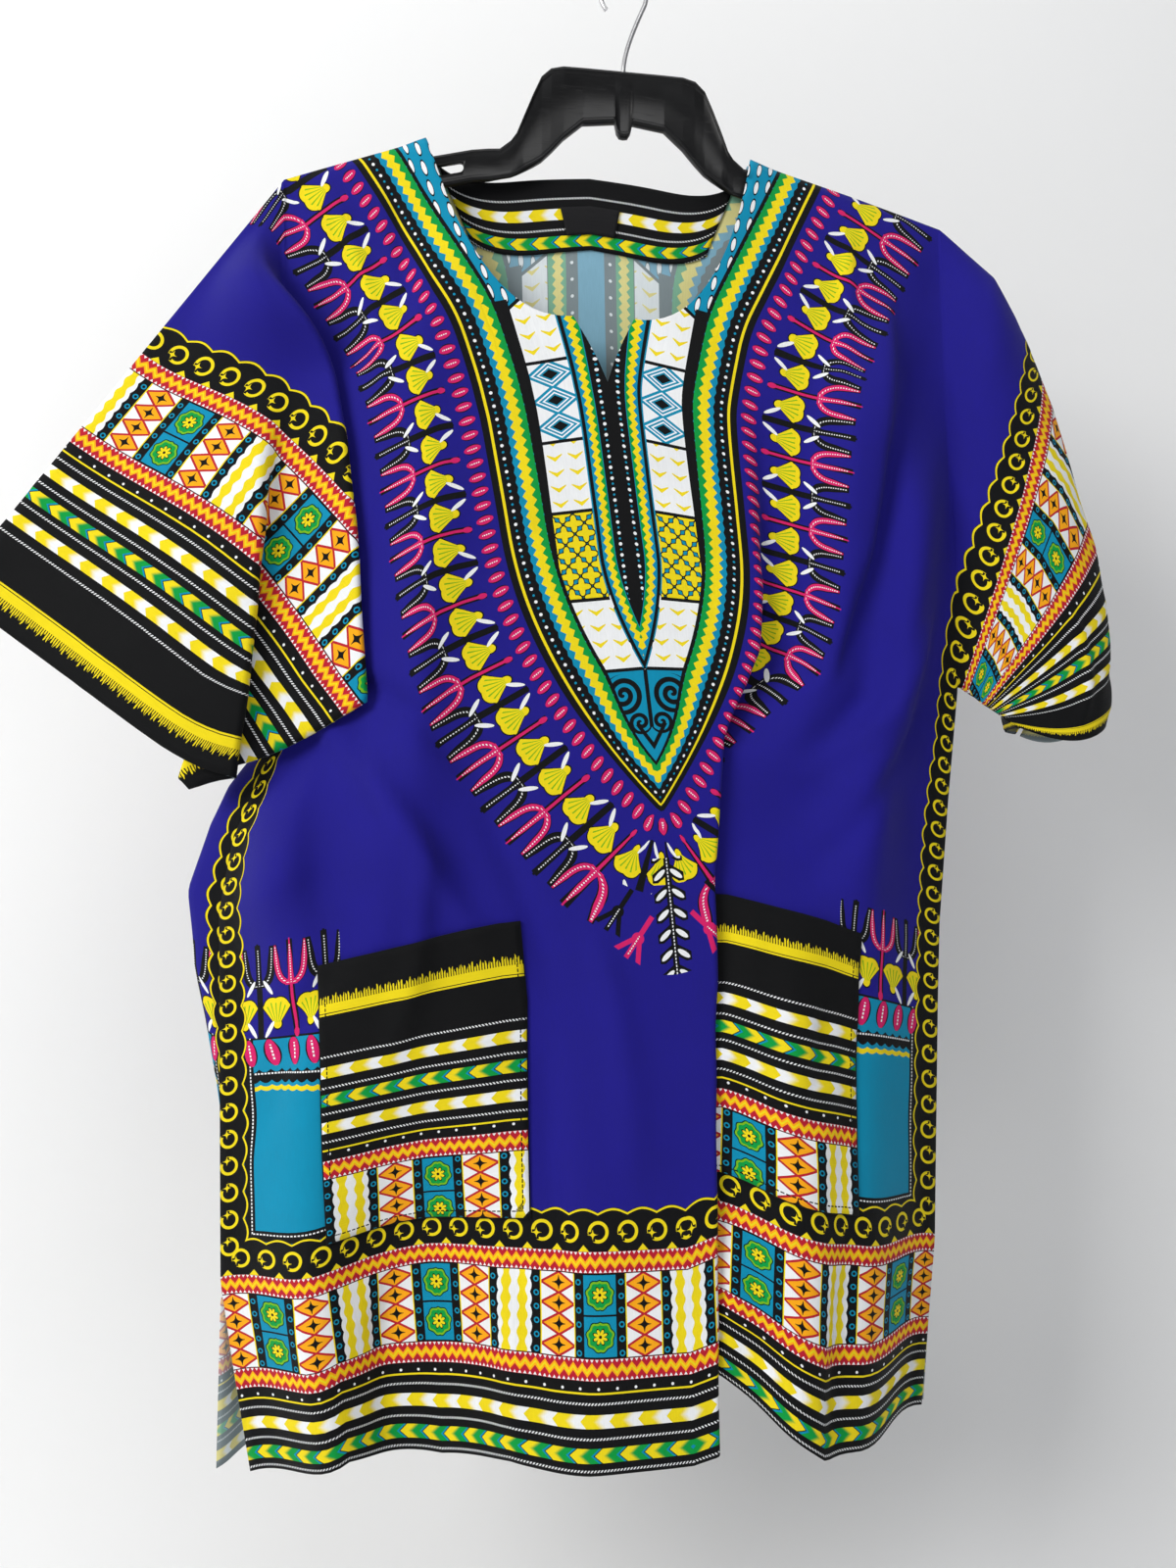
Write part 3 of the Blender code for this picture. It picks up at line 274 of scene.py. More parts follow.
def seam_distance(u, v):
    """Distance on the cut to the nearer of the side seam and the underarm seam."""
    a = np.abs(u)
    down = np.clip(v, ARMHOLE_DEPTH, None)
    side = np.hypot(a - BODY_HALF, v - down)
    run = CLOTH_HALF - BODY_HALF
    rise = CUFF_DEPTH - ARMHOLE_DEPTH
    share = ((a - BODY_HALF) * run + (v - ARMHOLE_DEPTH) * rise) / (run * run + rise * rise)
    share = np.clip(share, 0.0, 1.0)
    under = np.hypot(a - BODY_HALF - share * run, v - ARMHOLE_DEPTH - share * rise)
    return np.minimum(side, under)


def seam_part(u, v):
    """Half the distance between front and back near the seams: face to face at a seam, wider away from it."""
    distance = np.minimum(seam_distance(u, v), np.maximum(v, 0.0))
    return SEAM_HALF + (LAYER_HALF - SEAM_HALF) * smooth(distance / 0.006)


def centre_line(v, front):
    """Sideways place and depth of the centre line."""
    x = column(CENTRE_X if front else BACK_CENTRE_X, v)
    return x, column(FRONT_Y if front else BACK_Y, v)


def edge_point(v, left, front):
    """Where the body's edge hangs: x and depth."""
    split = smooth((v - SLIT_TOP) / 0.02) if not front else np.zeros_like(v)
    x = column(LEFT_X if left else RIGHT_X, v)
    y = column(LEFT_Y if left else RIGHT_Y, v)
    x = x + split * (column(LEFT_BACK_X if left else RIGHT_BACK_X, v) - x)
    y = y + split * (column(LEFT_BACK_Y if left else RIGHT_BACK_Y, v) - y)
    return x, y


def lie(x, reach):
    """Depth of the form that the folded left sleeve lies on."""
    return -0.030 * smooth((x - LEFT_X[0][1]) / 0.11) * smooth(reach / 0.20)


def body_point(u, v, front):
    """Where a point of the body hangs."""
    sign = -1.0 if front else 1.0
    fall = drop(u, v)
    x0, y0 = centre_line(v, front)
    y0 = column(FRONT_Y if front else BACK_Y, np.clip(v + fall, 0.0, 0.94))
    across, depth = section(u, v, front)
    spread = OPEN_SLOPE * 0.5 * (np.sqrt((NOTCH_FOOT - v) ** 2 + 0.02**2) + NOTCH_FOOT - v)
    if not front:
        spread = spread * (1.0 - 0.65 * smooth(v / 0.15))
    x = x0 + spread * np.tanh(u / 0.012) + across
    y = y0 + depth
    z = TOP_Z - v - fall
    for left in (True, False):
        mask = (u < 0.0) if left else (u >= 0.0)
        edge_u = edge_place(v, left)
        edge_across, edge_depth = section(np.where(left, -edge_u, edge_u), v, front)
        aim_x, aim_y = edge_point(v, left, front)
        gap_x = aim_x - (x0 + spread * (-1.0 if left else 1.0) + edge_across)
        start = 0.42 * edge_u
        share = np.clip((np.abs(u) - start) / (edge_u - start), 0.0, 1.0)
        x = np.where(mask, x + gap_x * share, x)
        if left and not front:
            round_out = np.clip((edge_u - np.abs(u)) / BULGE_CLOTH, 0.0, 1.0)
            x = np.where(mask, x - column(LEFT_BULGE, v) * np.sin(math.pi * round_out) ** 2 * 1.35, x)
        near = np.clip((edge_u - np.abs(u)) / 0.075, 0.0, 1.0)
        rest = aim_y + sign * seam_part(u, v)
        y = np.where(mask, y + (rest - y0 - edge_depth) * (1.0 - smooth(near)), y)
        if left and front:
            # under the folded sleeve the body keeps to the form the sleeve lies on
            inward = edge_u - np.abs(u)
            take = (1.0 - smooth((inward - 0.110) / 0.07)) * (1.0 - smooth((v - 0.40) / 0.10))
            y = np.where(mask, y * (1.0 - take) + (rest + lie(x, v)) * take, y)
    return np.stack([x, y, z], axis=1)


def sleeve_fold_places(r):
    """Cloth from the fold line to the second turn, the pleat's strand, and cloth to the pleat."""
    first = math.atan2(BODY_HALF - TIP_LEFT_U, ARMHOLE_DEPTH)
    second = column(SECOND_TURN, r)
    free = r * (math.pi / 2.0 - first - SLEEVE_TOP_ANGLE + FOLD_LINE_ANGLE)
    strand = np.clip((free - 2.0 * second) * 0.5 - SLEEVE_BEND, 0.0, None)
    return second, strand, r * (PLEAT_SEAT - first) - strand * 0.3


def sleeve_turn(r, t):
    """The left sleeve's heading at a distance r from the tip after t of cloth from the fold line."""
    second, strand, seat = sleeve_fold_places(r)
    full = smooth((r - 0.030) / 0.13)
    there = np.clip(t / SLEEVE_BEND, 0.0, 1.0)
    back = np.clip((t - second) / SLEEVE_BEND, 0.0, 1.0)
    slope = -math.pi * full * (there - back)
    pleat = smooth((r - PLEAT_TOP) / 0.15)
    there = np.clip((t - seat) / SLEEVE_BEND, 0.0, 1.0)
    back = np.clip((t - seat - SLEEVE_BEND - strand) / SLEEVE_BEND, 0.0, 1.0)
    return slope - math.pi * pleat * (there - back)


def left_sleeve_middle(u, v):
    """The left sleeve's middle surface, between its two layers."""
    across = np.maximum(-u - TIP_LEFT_U, 0.0)
    r = np.hypot(across, v) + 1e-7
    first = math.atan2(BODY_HALF - TIP_LEFT_U, ARMHOLE_DEPTH)
    angle = np.arctan2(across, np.maximum(v, 0.0))
    t = r * np.clip(angle - first, 0.0, None)
    whole = r * (math.pi / 2.0 - first)
    steps = np.linspace(0.0, 1.0, SECTION_STEPS + 1)[None, :]

    def run(length):
        slope = sleeve_turn(r[:, None], length[:, None] * steps)
        step = length / SECTION_STEPS
        along = ((np.cos(slope[:, 1:]) + np.cos(slope[:, :-1])) * 0.5).sum(axis=1) * step
        depth = ((np.sin(slope[:, 1:]) + np.sin(slope[:, :-1])) * 0.5).sum(axis=1) * step
        return along, depth

    along, depth = run(t)
    end_along, end_depth = run(whole)
    aim = r * (SLEEVE_TOP_ANGLE - FOLD_LINE_ANGLE)
    share = np.clip(t / whole, 0.0, 1.0)
    late = smooth((share - 0.45) / 0.55)
    along = along + (aim - end_along) * share
    depth = depth - end_depth * late
    turn = FOLD_LINE_ANGLE + along / r
    hidden = np.exp(-(((angle - PLEAT_SEAT - 0.02) / 0.10) ** 2)) * smooth((r - 0.30) / 0.12)
    reach = r * (1.0 + 0.03 * share - 0.05 * hidden)
    x = TIP_LEFT[0] - reach * np.sin(turn)
    z = TIP_LEFT[1] - reach * np.cos(turn)
    near_r = np.minimum(r, ARMHOLE_DEPTH / math.cos(first))
    line_v = near_r * math.cos(first)
    line_x = column(LEFT_X, line_v) - TIP_LEFT[0] + near_r * math.sin(FOLD_LINE_ANGLE)
    line_z = TOP_Z - line_v - drop(-edge_place(line_v, True), line_v)
    line_z = line_z - TIP_LEFT[1] + near_r * math.cos(FOLD_LINE_ANGLE)
    x = x + line_x * (1.0 - late)
    z = z + line_z * (1.0 - late)
    line_y = column(LEFT_Y, line_v)
    y = line_y * (1.0 - late) + depth + lie(x, r * math.cos(first))
    return np.stack([x, y, z], axis=1)


def left_sleeve_point(u, v, front):
    """A layer of the left sleeve, set off from the middle surface along its normal."""
    small = 0.0004
    middle = left_sleeve_middle(u, v)
    du = left_sleeve_middle(u - small, v) - middle
    dv = left_sleeve_middle(u, v + small) - middle
    normal = np.cross(du, dv)
    normal = normal / (np.linalg.norm(normal, axis=1)[:, None] + 1e-12)
    lift = seam_part(u, v)
    first = math.atan2(BODY_HALF - TIP_LEFT_U, ARMHOLE_DEPTH)
    angle = np.arctan2(np.maximum(-u - TIP_LEFT_U, 0.0), v)
    near = smooth((angle - first) * np.hypot(-u - TIP_LEFT_U, v) / 0.001)
    flat = np.array([0.0, -1.0, 0.0])
    normal = flat * (1.0 - near[:, None]) + normal * near[:, None]
    return middle + normal * (lift if front else -lift)[:, None]


def right_sleeve_point(u, v, front):
    """The right sleeve, rolled back over its outline."""
    behind, x_out, z_out, x_low, z_low = (column(RIGHT_SLEEVE, u, k) for k in (1, 2, 3, 4, 5))
    line_v = (u - TIP_RIGHT_U) / (BODY_HALF - TIP_RIGHT_U) * ARMHOLE_DEPTH
    seam_v = ARMHOLE_DEPTH + (CUFF_DEPTH - ARMHOLE_DEPTH) * (u - BODY_HALF) / (CLOTH_HALF - BODY_HALF)
    foot = np.where(u < BODY_HALF, line_v, seam_v) + 1e-9
    body_x, body_y = edge_point(np.clip(line_v, 0.0, ARMHOLE_DEPTH), False, True)
    body_z = TOP_Z - line_v - drop(np.clip(u, 0.0, BODY_HALF), line_v)
    x_low = np.where(u < BODY_HALF, body_x, x_low)
    z_low = np.where(u < BODY_HALF, body_z, z_low)
    span = np.maximum(foot - behind, 1e-6)
    share = (v - behind) / span
    grow = smooth((u - TIP_RIGHT_U) / 0.06)
    depth_low = np.where(u < BODY_HALF, body_y, -0.010)
    close = seam_part(u, v)
    turned = smooth(np.where(front, behind - v, behind) / 0.02)
    if front:
        front_share = np.clip(share, 0.0, 1.0)
        place = np.where(share >= 0.0, front_share, -0.45 * share)
        belly = 0.020 * grow * np.sin(math.pi * front_share**0.7)
        y = depth_low * front_share - belly + 0.012 * grow * turned + close * (2.0 * turned - 1.0)
    else:
        start = 0.45 * behind / span
        start = start + 0.0042 * smooth(behind / 0.004) / np.hypot(x_low - x_out, z_low - z_out + 1e-6)
        q = np.clip(v / foot, 0.0, 1.0)
        place = start + (1.0 - start) * q
        y = depth_low * q + grow * (0.012 * turned * (1.0 - q) + 0.018 * np.sin(math.pi * q)) + close
    x = x_out + (x_low - x_out) * place
    z = z_out + (z_low - z_out) * place
    sag = smooth((u - 0.43) / 0.08) * 0.012 * np.sin(math.pi * np.clip(place, 0.0, 1.0))
    return np.stack([x, y, z - sag], axis=1)


def cloth_point(u, v, front):
    """Where any point of the cut hangs."""
    u = np.asarray(u, float)
    v = np.asarray(v, float)
    body = np.abs(u) <= np.where(u < 0.0, edge_place(v, True), edge_place(v, False)) + 1e-9
    result = np.zeros((len(u), 3))
    sign = -1.0 if front else 1.0
    if body.any():
        ub, vb = u[body], v[body]
        point = body_point(ub, vb, front)
        take = 1.0 - smooth(vb / 0.11)
        inward = np.where(ub < 0.0, edge_place(vb, True), edge_place(vb, False)) - np.abs(ub)
        ease = smooth(inward / 0.035)
        rim = np.interp(vb, SHOULDER_V, SHOULDER_Y)
        rim = seam_part(ub, vb) * (1.0 - ease) + rim * ease
        point[:, 1] = point[:, 1] * (1.0 - take) + rim * sign * take
        clear = 0.0045 * smooth((NECK_HALF + 0.025 - np.abs(ub)) / 0.035) * take
        point[:, 1] += sign * clear
        result[body] = point
    left = (~body) & (u < 0.0)
    if left.any():
        result[left] = left_sleeve_point(u[left], v[left], front)
    right = (~body) & (u >= 0.0)
    if right.any():
        result[right] = right_sleeve_point(u[right], v[right], front)
    return result


# ---- finer meshes laid on the cut ----
ARM_ROWS = np.concatenate([[0.0, 0.005, 0.010], np.linspace(0.0, 1.0, 61)[1:]])
NECK_COLUMNS = np.concatenate([
    [0.0, 0.004, 0.008], NOTCH_HALF + (NECK_HALF - NOTCH_HALF) * np.sin(np.linspace(0.0, 0.5 * math.pi, 16)),
])
POCKET_IN = 0.104
POCKET_OUT = 0.250
POCKET_TOP = 0.565
POCKET_FOOT = 0.7625
SCENE_WALL = 0.0010
TAB_ROWS = np.linspace(0.0570, 0.0775, 9)  # down the cut, inside the back neck

# creases: front or back, from (u, v) to (u, v), half width, height, bow to one side
CREASES = (
    (1, -0.300, 0.330, -0.150, 0.560, 0.011, 0.0030, 0.020),
    (1, -0.270, 0.330, -0.090, 0.500, 0.009, -0.0026, 0.014),
    (1, -0.205, 0.400, -0.120, 0.590, 0.008, 0.0022, -0.010),
    (1, -0.130, 0.470, -0.085, 0.620, 0.009, -0.0016, 0.006),
    (1, -0.060, 0.560, -0.035, 0.760, 0.012, 0.0018, 0.008),
    (1, -0.092, 0.640, -0.070, 0.900, 0.011, -0.0022, -0.006),
    (1, -0.170, 0.480, -0.210, 0.660, 0.010, 0.0020, 0.012),
    (1, -0.235, 0.560, -0.300, 0.700, 0.011, -0.0022, -0.010),
    (1, -0.130, 0.780, -0.118, 0.925, 0.013, 0.0028, 0.005),
    (1, -0.205, 0.790, -0.215, 0.925, 0.012, -0.0024, -0.005),
    (1, -0.275, 0.800, -0.262, 0.925, 0.010, 0.0018, 0.004),
    (1, 0.150, 0.020, 0.165, 0.190, 0.008, 0.0016, 0.006),
    (1, 0.190, 0.060, 0.200, 0.330, 0.010, 0.0028, 0.010),
    (1, 0.228, 0.110, 0.175, 0.420, 0.009, -0.0028, 0.012),
    (1, 0.285, 0.260, 0.185, 0.470, 0.010, 0.0026, 0.016),
    (1, 0.292, 0.330, 0.205, 0.540, 0.009, -0.0022, 0.010),
    (1, 0.120, 0.330, 0.112, 0.560, 0.010, -0.0018, 0.006),
    (1, 0.170, 0.560, 0.140, 0.720, 0.011, 0.0020, 0.008),
    (1, 0.225, 0.600, 0.190, 0.760, 0.010, -0.0018, 0.006),
    (1, 0.110, 0.690, 0.190, 0.730, 0.006, 0.0014, 0.006),
    (1, 0.160, 0.790, 0.150, 0.925, 0.011, 0.0022, 0.006),
    (1, 0.245, 0.780, 0.238, 0.925, 0.012, -0.0022, -0.005),
    (1, -0.100, 0.010, -0.135, 0.140, 0.008, -0.0014, 0.006),
    (1, -0.150, 0.010, -0.165, 0.200, 0.008, 0.0016, 0.006),
    (1, 0.330, 0.020, 0.420, 0.150, 0.008, 0.0018, 0.012),
    (1, 0.360, 0.060, 0.500, 0.190, 0.007, -0.0016, 0.010),
    (1, 0.400, 0.190, 0.520, 0.225, 0.006, 0.0016, 0.008),
    (0, -0.070, 0.060, -0.085, 0.420, 0.012, 0.0022, 0.010),
    (0, -0.190, 0.100, -0.150, 0.520, 0.011, -0.0022, 0.014),
    (0, -0.250, 0.330, -0.180, 0.640, 0.012, 0.0024, -0.012),
    (0, 0.050, 0.100, 0.070, 0.600, 0.013, -0.0020, 0.010),
    (0, 0.125, 0.240, 0.110, 0.700, 0.011, 0.0022, 0.012),
    (0, 0.200, 0.330, 0.170, 0.700, 0.010, -0.0022, 0.014),
    (0, 0.280, 0.330, 0.200, 0.560, 0.009, 0.0022, 0.010),
    (0, -0.030, 0.560, -0.045, 0.940, 0.012, 0.0020, 0.008),
    (0, 0.090, 0.640, 0.075, 0.940, 0.012, -0.0022, 0.006),
    (0, 0.210, 0.700, 0.225, 0.940, 0.011, 0.0022, 0.006),
    (0, -0.200, 0.680, -0.190, 0.940, 0.012, -0.0020, 0.006),
)


def crease_lift(u, v, front):
    """Height of the listed creases at a place on the cut."""
    lift = np.zeros_like(u)
    for side, u0, v0, u1, v1, width, height, bow in CREASES:
        if bool(side) != bool(front):
            continue
        run = math.hypot(u1 - u0, v1 - v0)
        du, dv = (u1 - u0) / run, (v1 - v0) / run
        along = ((u - u0) * du + (v - v0) * dv) / run
        inside = np.clip(along, 0.0, 1.0)
        off = (u - u0) * dv - (v - v0) * du - bow * np.sin(math.pi * inside)
        wide = width * (0.75 + 0.5 * inside)
        ends = smooth(along / 0.3 + 0.1) * smooth((1.0 - along) / 0.3 + 0.1)
        lift += height * ends * np.exp(-((off / wide) ** 2))
    crumple = 0.0005 * np.sin(u * 61.0 + 3.0 * np.sin(v * 23.0)) * np.sin(v * 37.0 + 2.0 * np.sin(u * 29.0))
    edge = smooth(seam_distance(u, v) / 0.02) * smooth(v / 0.03)
    return (lift * 2.1 + crumple) * edge


def neck_edge(u, front):
    """Top of the cloth at a place across."""
    a = np.clip(np.abs(u) / NECK_HALF, 0.0, 1.0)
    if not front:
        return BACK_NECK_DROP * (1.0 - a**2.6) ** 0.5
    curve = NECK_DROP * (1.0 - a**2.6) ** 0.4
    notch = NOTCH_FOOT - (NOTCH_FOOT - NECK_DROP) * np.clip(np.abs(u) / NOTCH_HALF, 0.0, 1.0)
    return np.where(np.abs(u) < NOTCH_HALF, notch, curve)


def outer_columns(first, edge, v, counts):
    """Columns from a place to the edge, held to the pocket's sides at the pocket's levels."""
    n_near, n_pocket, n_far = counts
    hold = smooth((v - 0.10) / 0.40)
    near = (first + (edge - first) * n_near / sum(counts)) * (1.0 - hold) + POCKET_IN * hold
    far = (edge - (edge - first) * n_far / sum(counts)) * (1.0 - hold) + POCKET_OUT * hold
    return np.concatenate([
        np.linspace(first, near, n_near + 1)[1:],
        np.linspace(near, far, n_pocket + 1)[1:],
        np.linspace(far, edge, n_far + 1)[1:],
    ])


def half_columns(v, right, front):
    """Places across of one half's columns at a level, from the centre line to the edge."""
    edge = float(edge_place(np.array([v]), not right)[0])
    count = len(NECK_COLUMNS) - 1
    mix = smooth(v / 0.42)
    if right and front:
        start, strand = float(column(DEEP_FOLD, v)), float(column(DEEP_FOLD, v, 2))
        ends = [start, start + FOLD_BEND, start + FOLD_BEND + strand, start + 2 * FOLD_BEND + strand]
        even = np.linspace(0.0, ends[0] * count / (count + 5), count + 1)
        inner = NECK_COLUMNS * (1.0 - mix) + even * mix
        parts = [inner, np.linspace(inner[-1], ends[0], 6)[1:]]
        for low, high, steps in ((ends[0], ends[1], 9), (ends[1], ends[2], 8), (ends[2], ends[3], 9)):
            parts.append(np.linspace(low, high, steps + 1)[1:])
        parts.append(outer_columns(ends[3], edge, v, (3, 26, 12)))
        return np.concatenate(parts)
    even = np.linspace(0.0, 0.085, count + 1)
    inner = NECK_COLUMNS * (1.0 - mix) + even * mix
    if front:
        return np.concatenate([inner, outer_columns(inner[-1], edge, v, (4, 28, 12))])
    return np.concatenate([inner, np.linspace(inner[-1], edge, 45)[1:]])


def body_levels(front):
    """Levels of the body's rows, from the shoulder to the hem."""
    length = FRONT_LENGTH if front else BACK_LENGTH
    upper = ARMHOLE_DEPTH * ARM_ROWS
    middle = np.linspace(ARMHOLE_DEPTH, POCKET_TOP, 49)[1:]
    pocket = np.linspace(POCKET_TOP, POCKET_FOOT, 37)[1:]
    return np.concatenate([upper, middle, pocket, np.linspace(POCKET_FOOT, length, 30)[1:]])


def body_flats(front):
    """The body's grid on the cut."""
    rows = []
    for level in body_levels(front):
        left = -half_columns(level, False, front)[::-1]
        right = half_columns(level, True, front)
        across = np.concatenate([left, right[1:]])
        top = neck_edge(across, front)
        down = level + top * np.clip(1.0 - level / 0.36, 0.0, 1.0)
        down = np.where(np.abs(across) < NECK_HALF - 1e-6, down, level)
        rows.append(np.stack([across, down], axis=1))
    return np.array(rows)


def sleeve_reach(angle):
    """Distance from the hanger's tip to the left sleeve's outline, at an angle from straight down the cut."""
    run, rise = CLOTH_HALF - BODY_HALF, CUFF_DEPTH - ARMHOLE_DEPTH
    if angle <= math.atan2(CLOTH_HALF - TIP_LEFT_U, CUFF_DEPTH) + 1e-9:
        foot = ARMHOLE_DEPTH - (BODY_HALF - TIP_LEFT_U) * rise / run
        return foot / (math.cos(angle) - math.sin(angle) * rise / run)
    return (CLOTH_HALF - TIP_LEFT_U) / math.sin(angle)


def sleeve_stops(r):
    """Where the left sleeve's turns start and end at a distance from the tip, and the columns before each."""
    second, strand, seat = sleeve_fold_places(r)
    return (
        (SLEEVE_BEND, 9), (second, 6), (second + SLEEVE_BEND, 9), (seat, 16), (seat + SLEEVE_BEND, 9),
        (seat + SLEEVE_BEND + strand, 5), (seat + 2.0 * SLEEVE_BEND + strand, 9),
    )


def left_sleeve_flats():
    """The left sleeve's fan, from the fold line out to the shoulder edge."""
    first = math.atan2(BODY_HALF - TIP_LEFT_U, ARMHOLE_DEPTH)
    rows = []
    for share in ARM_ROWS:
        angles = [first]
        for k in range(7):
            angle = first + 0.4
            for _ in range(30):
                r = max(share, 0.27) * sleeve_reach(min(angle, math.pi / 2.0))
                place, columns = sleeve_stops(r)[k]
                angle = first + float(place) / r
            left = math.pi / 2.0 - 0.02 * (7 - k)
            angle = max(min(angle, left), angles[-1] + 0.001 * columns)
            angles += list(np.linspace(angles[-1], angle, columns + 1)[1:])
        angles += list(np.linspace(angles[-1], math.pi / 2.0, 26)[1:])
        cells = []
        for angle in angles:
            far = sleeve_reach(angle)
            cells.append((-TIP_LEFT_U - share * far * math.sin(angle), share * far * math.cos(angle)))
        rows.append(cells)
    return np.array(rows)


def right_sleeve_flats(front):
    """The right sleeve's columns, from the tip of the hanger to the cuff, each from shoulder to underarm."""
    inner = TIP_RIGHT_U + (BODY_HALF - TIP_RIGHT_U) * ARM_ROWS
    outer = np.linspace(BODY_HALF, CLOTH_HALF, 46)[1:]
    rows = []
    for u in np.concatenate([inner, outer]):
        if u <= BODY_HALF:
            foot = (u - TIP_RIGHT_U) / (BODY_HALF - TIP_RIGHT_U) * ARMHOLE_DEPTH
        else:
            foot = ARMHOLE_DEPTH + (CUFF_DEPTH - ARMHOLE_DEPTH) * (u - BODY_HALF) / (CLOTH_HALF - BODY_HALF)
        split = max(float(column(RIGHT_SLEEVE, u)), 0.12 * foot) if front else foot * 0.18
        levels = np.concatenate([np.linspace(0.0, split, 13), np.linspace(split, foot, 41)[1:]])
        rows.append([(u, v) for v in levels[::-1]])
    return np.array(rows)


def moved_out(flats, lift, front):
    """Panel points, moved out along the panel's normal; a negative lift goes inside."""
    u, v = flats[:, :, 0].ravel(), flats[:, :, 1].ravel()
    small = 0.0008
    here = cloth_point(u, v, front)
    du = cloth_point(u + small, v, front) - cloth_point(u - small, v, front)
    dv = cloth_point(u, v + small, front) - cloth_point(u, v - small, front)
    normal = np.cross(du, dv)
    normal = normal / np.linalg.norm(normal, axis=1)[:, None]
    if front:
        normal = -normal
    return here + normal * np.reshape(lift, (-1, 1))


# ---- the print's places on the cut ----
RING_IN = 0.308  # inner edge of the ring band, out from the centre line
RING_TOP = 0.757  # the same, down from the shoulder edge
# half width of the yoke's outer line by v; below the last row it closes to a point on a parabola
YOKE_HALF = ((-0.20, 0.1725), (0.0, 0.121), (0.132, 0.087), (0.232, 0.085), (0.29, 0.083))
YOKE_TIP = 0.495
GARLAND_OUT = 0.050
SEED_OUT = 0.014


def yoke_line():
    """The yoke's outer line: points, directions, and its length as read at three distances outside it."""
    v = np.arange(-0.12, YOKE_TIP + 1e-9, 0.0005)
    half = np.interp(v, [row[0] for row in YOKE_HALF], [row[1] for row in YOKE_HALF])
    low = v > YOKE_HALF[-1][0]
    last_v, last_half = YOKE_HALF[-1]
    half[low] = last_half * (1.0 - ((v[low] - last_v) / (YOKE_TIP - last_v)) ** 2)
    wide = 61
    padded = np.concatenate([np.full(wide // 2, half[0]), half, np.full(wide // 2, half[-1])])
    evened = np.convolve(padded, np.ones(wide) / wide, "valid")
    take = smooth((YOKE_TIP - v - 0.05) / 0.08)
    half = half * (1.0 - take) + evened * take
    points = np.stack([half, v], axis=1)
    step = np.gradient(points, axis=0)
    size = np.linalg.norm(step, axis=1)
    heading = step / size[:, None]
    turn = np.unwrap(np.arctan2(heading[:, 0], heading[:, 1]))
    lengths = []
    for out in (0.0, SEED_OUT, GARLAND_OUT):
        pieces = size - out * np.gradient(turn)
        lengths.append(np.cumsum(np.clip(pieces, 0.0, None)))
    return points, heading, lengths


def yoke_places(u, v):
    """Distance inside the yoke's line, and along it as read on the line, at the seeds and at the garland."""
    points, heading, lengths = yoke_line()
    a = np.abs(u)
    nearest = np.empty(len(a), int)
    for start in range(0, len(a), 4000):
        block = slice(start, start + 4000)
        gap = (a[block, None] - points[None, :, 0]) ** 2 + (v[block, None] - points[None, :, 1]) ** 2
        nearest[block] = gap.argmin(axis=1)
    base = points[nearest]
    face = heading[nearest]
    rel = np.stack([a, v], axis=1) - base
    across = rel[:, 0] * face[:, 1] - rel[:, 1] * face[:, 0]  # positive outside
    along = (rel * face).sum(axis=1)
    tip = (nearest == len(points) - 1) & (along > 0.0)
    far = np.where(tip, np.hypot(rel[:, 0], rel[:, 1]), across)
    swing = np.where(tip, np.arctan2(along, np.maximum(across, 1e-9)), 0.0)
    most = math.atan2(heading[-1][1], -heading[-1][0])
    result = [-far]
    for out, length in zip((0.0, SEED_OUT, GARLAND_OUT), lengths):
        whole = length[-1] + out * most
        here = length[nearest] + np.where(tip, out * swing, along)
        result.append(whole - here)
    return result


# ---- shader arithmetic ----
class Number:
    """A value in a node tree; arithmetic on it adds Math nodes."""

    def __init__(self, tree, socket):
        self.tree = tree
        self.socket = socket

    def math(self, kind, *others):
        """One Math node, with this value and up to two more."""
        node = self.tree.nodes.new("ShaderNodeMath")
        node.operation = kind
        for k, value in enumerate((self, *others)):
            if isinstance(value, Number):
                self.tree.links.new(value.socket, node.inputs[k])
            else:
                node.inputs[k].default_value = value
        return Number(self.tree, node.outputs[0])

    def from_(self, value):
        """A constant less this value."""
        node = self.tree.nodes.new("ShaderNodeMath")
        node.operation = "SUBTRACT"
        node.inputs[0].default_value = value
        self.tree.links.new(self.socket, node.inputs[1])
        return Number(self.tree, node.outputs[0])

    def __add__(self, other):
        return self.math("ADD", other)

    def __sub__(self, other):
        return self.math("SUBTRACT", other)

    def __rsub__(self, other):
        return self.from_(other)

    def __mul__(self, other):
        return self.math("MULTIPLY", other)

    def __truediv__(self, other):
        return self.math("DIVIDE", other)

    def __pow__(self, other):
        return self.math("POWER", other)

    def above(self, other):
        return self.math("GREATER_THAN", other)

    def below(self, other):
        return self.math("LESS_THAN", other)

    def abs(self):
        return self.math("ABSOLUTE")

    def sin(self):
        return self.math("SINE")

    def least(self, other):
        return self.math("MINIMUM", other)

    def most(self, other):
        return self.math("MAXIMUM", other)

    def cell(self, pitch, shift=0.0):
        """Place within a repeat, measured from the middle of the cell."""
        return (self + (shift + 0.5 * pitch)).math("FLOORED_MODULO", pitch) - 0.5 * pitch

    def dash(self, pitch, half):
        """1 within half of the middle of each cell."""
        return self.cell(pitch).abs().below(half)

    def saw(self, pitch):
        """A zigzag between -1 and 1."""
        return self.cell(pitch).abs() * (4.0 / pitch) - 1.0

    def ramp(self, low, high):
        """0 at low and 1 at high, held outside."""
        node = self.tree.nodes.new("ShaderNodeMapRange")
        node.interpolation_type = "SMOOTHSTEP"
        self.tree.links.new(self.socket, node.inputs["Value"])
        node.inputs["From Min"].default_value = low
        node.inputs["From Max"].default_value = high
        return Number(self.tree, node.outputs["Result"])


